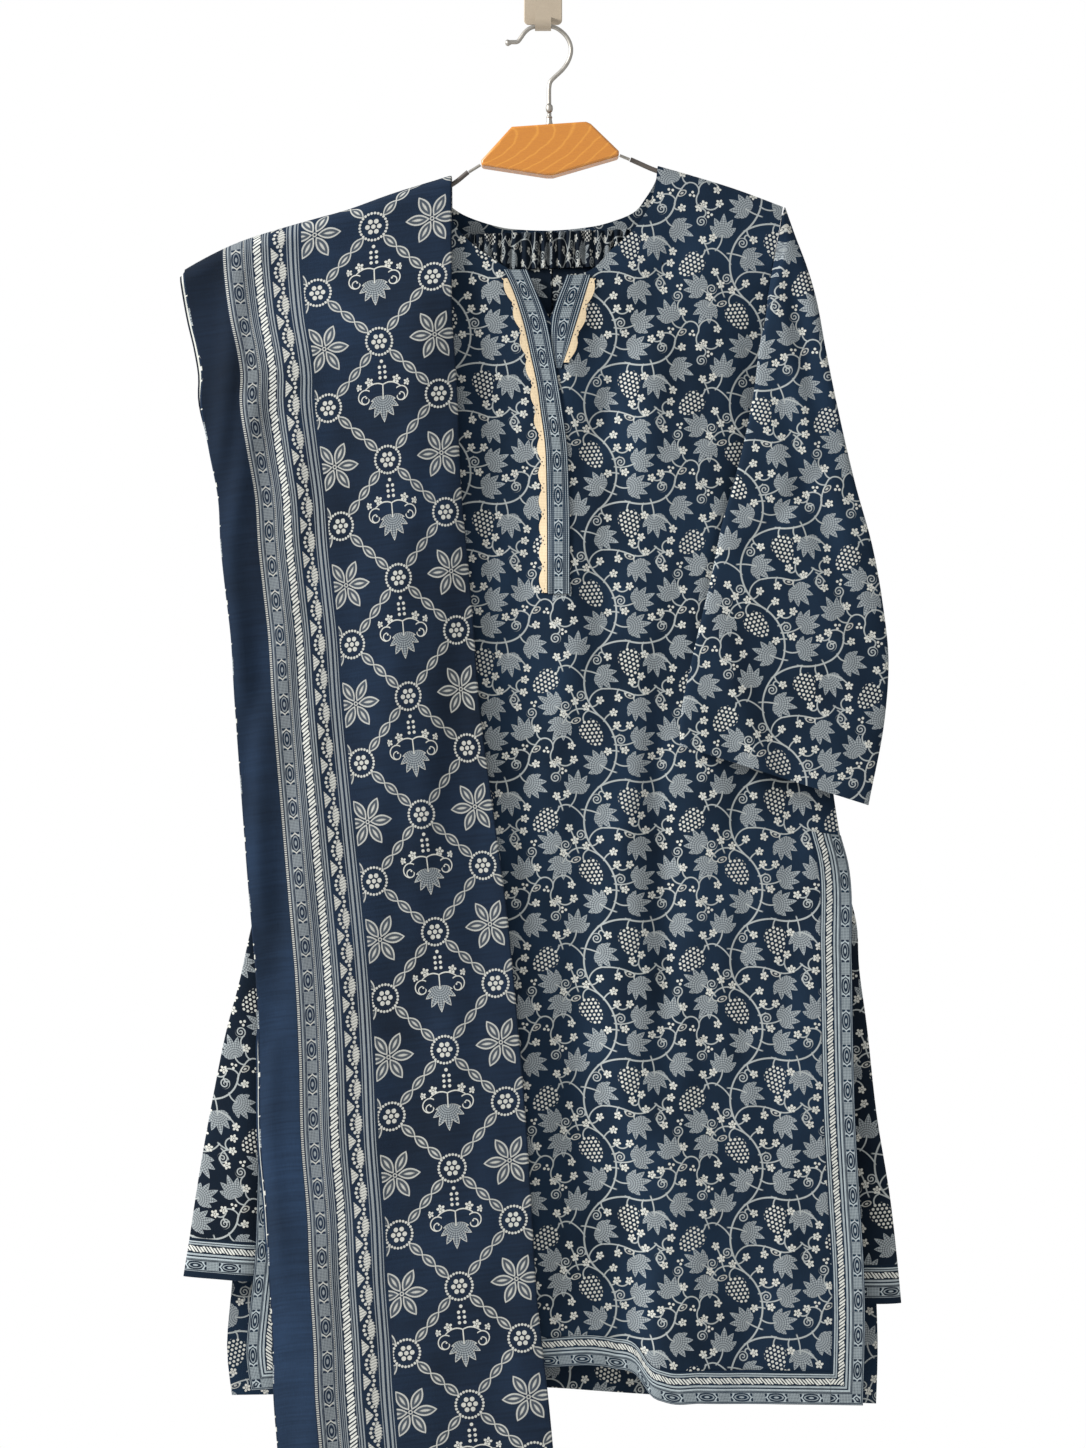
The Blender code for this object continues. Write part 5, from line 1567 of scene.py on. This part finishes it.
def leg_print(place):
    """The vine print on a darker navy, as painted shade for legs that hang inside the kameez, with
    the border woven along the trouser hem, from which v is measured.
    """
    colour = vine_colours(place, dyed(place, NAVY_PAINTED_SHADE, NAVY))
    x, y, _ = split(place)
    pale, cream = border_masks(y - 5.0, x)
    with_border = mixed(cream, mixed(pale, NAVY, BORDER_GREY), CREAM_THREAD)
    return mixed(under(y, 34.5), colour, with_border)


def worn(place, least):
    """How much of a border's thread still shows, unevenly."""
    return linear(noise(place, 0.12, 3.0), 0.5, least)


def border_print(place):
    """The border along a slit or the hem; where both meet, it turns the corner in a mitre."""
    u, v, _ = split(place)
    across = number("MINIMUM", u, v)
    along = linear(number("GREATER_THAN", u, v), u - v, v)
    pale, cream = border_masks(across, along)
    ground = dyed(place, NAVY, NAVY_LIGHT)
    return mixed(cream, mixed(pale * worn(place, 0.74), ground, BORDER_GREY), CREAM_THREAD)


def strip_print(place):
    u, v, _ = split(place)
    ground = dyed(place, NAVY, NAVY_LIGHT)
    shown = worn(place, 0.7)
    return mixed(strip_masks(u, v) * shown, ground, BORDER_GREY)


def dupatta_ground_painted_shade(place, u, v):
    """Navy with slubs across it; the plain edge band carries painted shade and light: darker
    towards the shoulder, lighter further down.
    """
    across = number("MINIMUM", u, DUPATTA_WIDTH - u)
    # Painted shade and light on the plain band: 0.36 at v = -110, near the shoulder, rising to 1.35
    # further down
    band = number("MINIMUM", linear(abs(v + 110.0), 0.0013, 0.36), 1.35)
    level = under(across, 35.0) * (band - 0.8) + 0.8
    crossing = noise(place, (0.02, 0.45, 0.0), 3.0)
    level = level * linear(crossing, 0.9, 0.65)
    return vector("SCALE", dyed(place, DUPATTA_NAVY, DUPATTA_LIGHT), None, None, level)


def dupatta_print(place):
    u, v, _ = split(place)
    pale, grey, cream = dupatta_masks(u, v)
    colour = mixed(grey, dupatta_ground_painted_shade(place, u, v), LEAF_GREY)
    colour = mixed(cream, mixed(pale, colour, PALE), CREAM_THREAD)
    selvedge = stripe(u, DUPATTA_WIDTH - 4.2, DUPATTA_WIDTH - 2.4)
    return mixed(selvedge, colour, CREAM_THREAD)


def lace_pattern(place):
    """Cream cotton lace: eyelets between its scallops, and stitches across it."""
    u, v, _ = split(place)
    gap = wrapped(v, LACE_PITCH / 2)
    eyelets = either(under(length_of(u - 3.3, gap), 0.8, 0.4),
                     under(length_of(u - 2.2, abs(gap) - 3.6), 0.6, 0.3))
    stitches = linear(number("SINE", v * 4.8), 0.12, 0.9)
    colour = mixed(either(eyelets, under(u, 0.4) * 0.25), LACE_CREAM, LACE_HOLE)
    return vector("MULTIPLY", colour, stitches)


def finished(name, roughness, look, metallic=0.0):
    """A material whose look is a function of the place on the object: its colour, its roughness,
    and, where it isn't flat, the height and the depth of its bumps."""
    made, tree, shader = new_material(name, roughness, metallic)
    colour, rough, *relief = look(object_place(tree))
    painted(tree, shader, colour, rough)
    if relief:
        bumped(tree, shader, *relief)
    return made


def wood(place):
    """Honey wood: growth lines that are long ellipses about a leaning axis, and fine pores."""
    wander = noise(place, (0.03, 0.03, 0.05), 2.0)
    x, y, z = split(place)
    lean = math.radians(17)
    right, up = x + 64.0, z + 149.0 + y * 0.2  # from the middle, just past the block's end
    along = right * math.cos(lean) + up * math.sin(lean)
    aside = up * math.cos(lean) - right * math.sin(lean)
    rings = length_of(along, aside * 2.6) + wander * 16
    grain = 1 - under(abs(wrapped(rings, 8.5)), 0.9, 2.6)
    pores = noise(place, (0.25, 1.6, 2.6), 4.0)
    share = linear(grain, 0.62, pores * 0.6)
    colour = mixed(share, (0.42, 0.182, 0.02), (0.29, 0.1, 0.005))
    return colour, linear(pores, 0.25, 0.3), share, 0.0001


def varnished_wood():
    made = finished("varnished_wood", 0.35, wood)
    shader = made.node_tree.nodes["Principled BSDF"]
    shader.inputs["Coat Weight"].default_value = 0.1
    shader.inputs["Coat Roughness"].default_value = 0.2
    return made


def nickel(place):
    """Satin nickel, dulled unevenly and finely scratched along the wire."""
    dull = noise(place, 0.35, 3.0)
    scratches = noise(place, (6.0, 6.0, 1.2), 2.0)
    colour = mixed(dull, (0.17, 0.16, 0.143), (0.31, 0.295, 0.268))
    return colour, linear(dull, 0.2, 0.4), scratches, 0.00006


def rubber(place):
    """Dark rubbery sleeving with a faint grain."""
    grain = noise(place, 1.4, 3.0)
    colour = mixed(grain, (0.02, 0.016, 0.013), (0.06, 0.047, 0.038))
    return colour, linear(grain, 0.25, 0.45), grain, 0.0001


def enamel(place):
    """Beige enamel with an orange-peel surface and faint specks."""
    peel = noise(place, 0.9, 2.0)
    specks = noise(place, 3.5, 1.0)
    shown = linear(specks, 3.0, -1.1, clamp=True)
    colour = mixed(shown, (0.215, 0.178, 0.13), (0.27, 0.225, 0.168))
    return colour, linear(peel, 0.25, 0.32), peel, 0.00015


def floor_paint(place):
    shade = noise(place, 0.004, 2.0)
    colour = mixed(shade, (0.8, 0.79, 0.77), (0.84, 0.83, 0.81))
    return colour, linear(shade, 0.1, 0.85)


VINE = cotton("vine_print", vine_print)
# The waistband's print is darkened all over as painted shade
SHADED_BAND_PRINT = cotton("vine_print_painted_shade", waist_print_painted_shade)
# The legs' print lies on the darker navy of painted shade
LEG_PRINT = cotton("vine_print_with_hem", leg_print)
BORDER = cotton("woven_border", border_print)
STRIP = cotton("woven_strip", strip_print)
CREAM = cotton("cream_lace", lace_pattern, pitch=0.9, depth=0.0003)
DUPATTA = cotton("dupatta_print", dupatta_print, roughness=0.8, pitch=0.6)
WOOD = varnished_wood()
NICKEL = finished("satin_nickel_wire", 0.3, nickel, metallic=1.0)
DARK = finished("dark_cover", 0.6, rubber)
ENAMEL = finished("beige_enamel_coat", 0.45, enamel)


# ---- the kameez's pieces ----

HEM_ALONG = 2000.0  # v starts here on strips that have no mitre
BACK_ACROSS = 700  # u on the back at x = 0; it runs against x, as it is seen from behind
SLEEVE_LEAN = 9.0  # degrees from upright, outwards, at which the sleeves' cloth hangs
SLEEVE_PRINT = (330, 50)  # where the sleeves lie in the print


def kameez_front():
    """The front panel, and the strips sewn on its slits and hem, which are parts of its own grid
    moved out. A strip's cloth coordinates: u from its outer edge, v along it. The slit strips' v
    starts at the hem, where they and the hem strip meet in a mitre."""
    grid = panel(FRONT_EDGES, FRONT_TOP, FRONT_CORNERS, FRONT_HEM, FRONT_ROWS, bag_front, -1)
    body = cloth_piece("kameez_front_cloth", grid, flat_cloth(grid), VINE,
                       ["kameez_front"])
    whole = moved_out(grid, CLOTH / 2 + GAP + TRIM / 2)
    tops = TOP_FINE * (len(TOP_STEPS) - 1) + 1
    first_row = tops + ROW_FINE * FRONT_ROWS.index(SLIT_ROW)
    hem_row = tops + ROW_FINE * FRONT_ROWS.index(HEM_ROW)
    strips = []
    edges = {"right": slice(None, PANEL_FINE + 1), "left": slice(-PANEL_FINE - 1, None)}
    for name, columns in edges.items():
        strip = whole[first_row:, columns]
        u = arc_along(strip, 1)
        u = u if name == "right" else u[:, -1:] - u
        v = arc_along(strip, 0)
        cloth = np.stack([u, v[-1:] - v], axis=-1)
        strips.append(cloth_piece(f"slit_border_{name}", strip, cloth, BORDER,
                                  [f"border_slit_{name}"], thickness=TRIM))
    hem = whole[hem_row:, PANEL_FINE:-PANEL_FINE].copy()
    for column, towards in ((0, 1), (-1, -2)):
        along = hem[:, towards] - hem[:, column]
        hem[:, column] += along / np.linalg.norm(along, axis=-1, keepdims=True) * GAP
    up = arc_along(hem, 0)
    cloth = np.stack([up[-1:] - up, HEM_ALONG + arc_along(hem, 1)], axis=-1)
    strips.append(cloth_piece("hem_border", hem, cloth, BORDER, ["border_hem"],
                              thickness=TRIM))
    return body, strips


def kameez_back():
    grid = panel(BACK_EDGES, BACK_TOP, BACK_CORNERS, BACK_HEM, BACK_ROWS, bag_back, 1)
    cloth = flat_cloth(grid)
    cloth[..., 0] = BACK_ACROSS - cloth[..., 0]
    return cloth_piece("kameez_back_cloth", grid, cloth, VINE, ["kameez_back"])


def strip_lift(drop):
    return CLOTH / 2 + STRIP_STANDOFF + TRIM / 2 + 0 * drop


def long_lift(drop):
    low, high = STRIP_OVERLAP
    return strip_lift(drop) + (TRIM + GAP + 0.1) * (1 - ease(low, high, drop))


def on_front(x, drop, lift):
    """A grid that lies lift(drop) off the front's surface, and its drops."""
    drops = np.broadcast_to(drop, x.shape)
    return points(x, front_surface_y(x, drops) - lift(drops), drops), drops


def neck_strip(name, rows, lift, node):
    table = np.array(rows, float)
    drop = finer(table[:, 0], STRIP_FINE)[:, None]
    near, far = curve(rows, 1)(drop), curve(rows, 2)(drop)
    share = np.linspace(0, 1, STRIP_ACROSS)
    grid, _ = on_front(near + share * (far - near), drop, lift)
    width = arc_along(grid, 1)
    middle = STRIP_ACROSS // 2
    length = arc_along(grid, 0)[:, middle:middle + 1]
    cloth = np.stack([width / width[:, -1:] * STRIP_PRINT, HEM_ALONG + length + 0 * width], axis=-1)
    return cloth_piece(name, grid, cloth, STRIP, [node], thickness=TRIM)


def lace(name, strip, column, side, top, bottom, node):
    """A scalloped band beside a neck strip, on the side that side gives."""
    edge = curve(strip, column)
    count = max(1, round((bottom - top) / LACE_PITCH))
    drop = np.linspace(top, bottom, SCALLOP_FINE * count + 1)[:, None]
    turn = np.pi * count * (drop - top) / (bottom - top)
    wave = np.abs(np.sin(turn)) ** 0.8
    from_joint = (turn / np.pi - np.round(turn / np.pi)) * LACE_PITCH
    picots = PICOT * np.sqrt(np.clip(1 - (from_joint / PICOT) ** 2, 0, 1))
    width = LACE_WIDTH + np.maximum(LACE_SCALLOP * wave, picots)
    share = np.linspace(0, 1, LACE_ACROSS)
    grid, drops = on_front(edge(drop) + side * (GAP + share * width), drop, strip_lift)
    cloth = np.stack([share * width, drops - top], axis=-1)
    return cloth_piece(name, grid, cloth, CREAM, [node], thickness=TRIM)


def sleeves():
    made = []
    for name, inner, outer, half, tip, armpit, side in (
        ("left", LEFT_INNER, LEFT_OUTER, LEFT_HALF, TIP_LEFT[1], ARMPIT_LEFT, 1),
        ("right", RIGHT_INNER, RIGHT_OUTER, RIGHT_HALF, TIP_RIGHT[1], ARMPIT_RIGHT, -1),
    ):
        grid, cloth = sleeve(inner, outer, half, tip, armpit, SLEEVE_HEMS[name], side)
        lean = math.radians(side * SLEEVE_LEAN)
        u, v = cloth[..., 0], cloth[..., 1]
        cloth = np.stack([
            u * math.cos(lean) + v * math.sin(lean) + SLEEVE_PRINT[0] * side,
            v * math.cos(lean) - u * math.sin(lean) + SLEEVE_PRINT[1],
        ], axis=-1)
        made.append(cloth_piece(f"sleeve_{name}_cloth", grid, cloth, VINE,
                                [f"sleeve_{name}"]))
    return made


def salwar():
    grid, cloth = waistband()
    # The waistband's material is darkened as painted shade
    band = cloth_piece("waistband_cloth", grid, cloth, SHADED_BAND_PRINT, ["salwar_waistband"],
                       ring=True)
    legs = []
    for name, table, seed in (("left", LEFT_LEG, 51), ("right", RIGHT_LEG, 52)):
        grid, cloth = leg(table, LEG_HEMS[name], seed)
        legs.append(cloth_piece(f"leg_{name}_cloth", grid, cloth, LEG_PRINT,
                                [f"salwar_leg_{name}"]))
    return band, legs


# ---- the hanger and the wall hook ----

def hanger():
    hook = [(x, drop, radius, radius) for x, drop, radius in smooth_route(HOOK_PATH, 6)]
    rod("hook_wire", hook, NICKEL, ["hanger_hook"])
    turned("neck_bead", BEAD, NICKEL, ["hanger_bead"])
    turned("neck_ferrule", FERRULE, NICKEL, ["hanger_ferrule"])
    slab("wood_block", BLOCK, HUNG_Y - BLOCK_HALF, HUNG_Y + BLOCK_HALF, WOOD,
         ["hanger_block"], BLOCK_BEVEL)
    for side, way in (("right", -1), ("left", 1)):
        start, (end_x, end_drop), *rest = ARM_ROUTES[side]
        wire = smooth_route([(*start, *ARM_WIRE), (end_x - way * ARM_GAP, end_drop, *ARM_WIRE)], 4)
        rod(f"arm_wire_{side}", wire, NICKEL, [f"hanger_arm_{side}"])
        covered = smooth_route([(*place, *ARM_SLEEVE) for place in [(end_x, end_drop), *rest]], 8)
        rod(f"arm_cover_{side}", covered, DARK, [f"arm_sleeve_{side}"])


def wall_hook():
    width, height, depth = PLATE
    outline = []
    for corner_x, corner_drop, start in ((1, -1, 0), (-1, -1, 90), (-1, 1, 180), (1, 1, 270)):
        for a in np.radians(np.linspace(start, start + 90, 9)):
            outline.append((
                corner_x * (width / 2 - PLATE_CORNER) + PLATE_CORNER * math.cos(a),
                corner_drop * (height / 2 - PLATE_CORNER) - PLATE_CORNER * math.sin(a),
            ))
    slab("wall_plate_body", outline, -depth, 0, ENAMEL, ["wall_plate"],
         PLATE_BEVEL)
    route = [(y, TAB_ARM_DROP, TAB_HALF)
             for y in np.linspace(-depth - GAP, HUNG_Y + TAB_ROUND + 3, 8)]
    route.append((HUNG_Y + TAB_ROUND + 0.6, TAB_ARM_DROP + 1.2, TAB_HALF))
    for turn in np.radians(np.linspace(0, 180, 25)):
        y, drop = TAB_ROUND * math.cos(turn), TAB_ROUND * math.sin(turn)
        route.append((HUNG_Y + y, TAB_BEND_DROP + drop, TAB_HALF))
    route += [tuple(row) for row in smooth_route(TAB_FRONT, 4)]
    across = np.linspace(-1, 1, 9)
    grid = np.array([points(half * across, y, drop) for y, drop, half in route])
    cloth_piece("wall_tab_sheet", grid, flat_cloth(grid), ENAMEL, ["wall_tab"],
                thickness=TAB_SHEET)


# ---- the stage ----

CAMERA_AT = (0.0, -3.030, -0.647)  # the photograph's middle, 3 m in front of the cloth
HALF_HEIGHT = 0.63712  # of the photograph's field, on the cloth
CLOTH_FRONT_Y = -0.030
SENSOR = 24
FLOOR_Z = -1.56
FLOOR_X, FLOOR_Y = (-2, 2), (-1.5, 1.2)
LIGHTS = (  # name, place, size, watts, and the point that it is turned to
    ("key", (-2.9, -1.25, 0.9), 1.2, 300, (0, 0, -0.6)),
    ("fill", (1.9, -2.4, 0.2), 2.2, 12, (0, 0, -0.7)),
)


def stage():
    camera = bpy.data.objects.new("camera", bpy.data.cameras.new("camera"))
    bpy.context.scene.collection.objects.link(camera)
    camera.location = CAMERA_AT
    camera.rotation_euler = (math.pi / 2, 0, 0)
    camera.data.sensor_fit = "VERTICAL"
    camera.data.sensor_height = SENSOR
    camera.data.lens = SENSOR / 2 * (CLOTH_FRONT_Y - CAMERA_AT[1]) / HALF_HEIGHT
    camera.data.clip_start, camera.data.clip_end = 0.05, 30
    bpy.context.scene.camera = camera

    world = bpy.data.worlds.new("studio")
    world.use_nodes = True
    world.node_tree.nodes["Background"].inputs["Color"].default_value = (1, 1, 1, 1)
    world.node_tree.nodes["Background"].inputs["Strength"].default_value = 1.0
    bpy.context.scene.world = world
    for name, place, size, watts, aim in LIGHTS:
        light = bpy.data.lights.new(name, "AREA")
        light.shape, light.size, light.energy = "DISK", size, watts
        lamp = bpy.data.objects.new(name, light)
        bpy.context.scene.collection.objects.link(lamp)
        lamp.location = place
        direction = Vector(aim) - Vector(place)
        lamp.rotation_euler = direction.to_track_quat("-Z", "Y").to_euler()

    floor = bpy.data.meshes.new("floor")
    corners = [(x, y, FLOOR_Z) for y in FLOOR_Y for x in FLOOR_X]
    floor.from_pydata(corners, [], [(0, 1, 3, 2)])
    floor.materials.append(finished("floor_paint", 0.9, floor_paint))
    ground = bpy.data.objects.new("floor", floor)
    bpy.context.scene.collection.objects.link(ground)
    bpy.context.scene.view_settings.view_transform = "Standard"


# ---- the model ----

wall_hook()
hanger()
front, strips = kameez_front()
back = kameez_back()
strips += [
    neck_strip("placket_strip_long", LONG_STRIP, long_lift, "placket_long"),
    neck_strip("placket_strip_short", SHORT_STRIP, strip_lift, "placket_short"),
    lace("lace_band_long", LONG_STRIP, 1, -1, 256, 532, "lace_long"),
    lace("lace_band_short", SHORT_STRIP, 2, 1, 256, 330, "lace_short"),
]
left_sleeve, right_sleeve = sleeves()
waist, legs = salwar()
dupatta_points, dupatta_cloth = dupatta_grid()
dupatta = cloth_piece(
    "dupatta_cloth", dupatta_points, dupatta_cloth, DUPATTA,
    ["dupatta_front", "dupatta_back", "dupatta_front_plies", "dupatta_back_plies"],
)
stage()
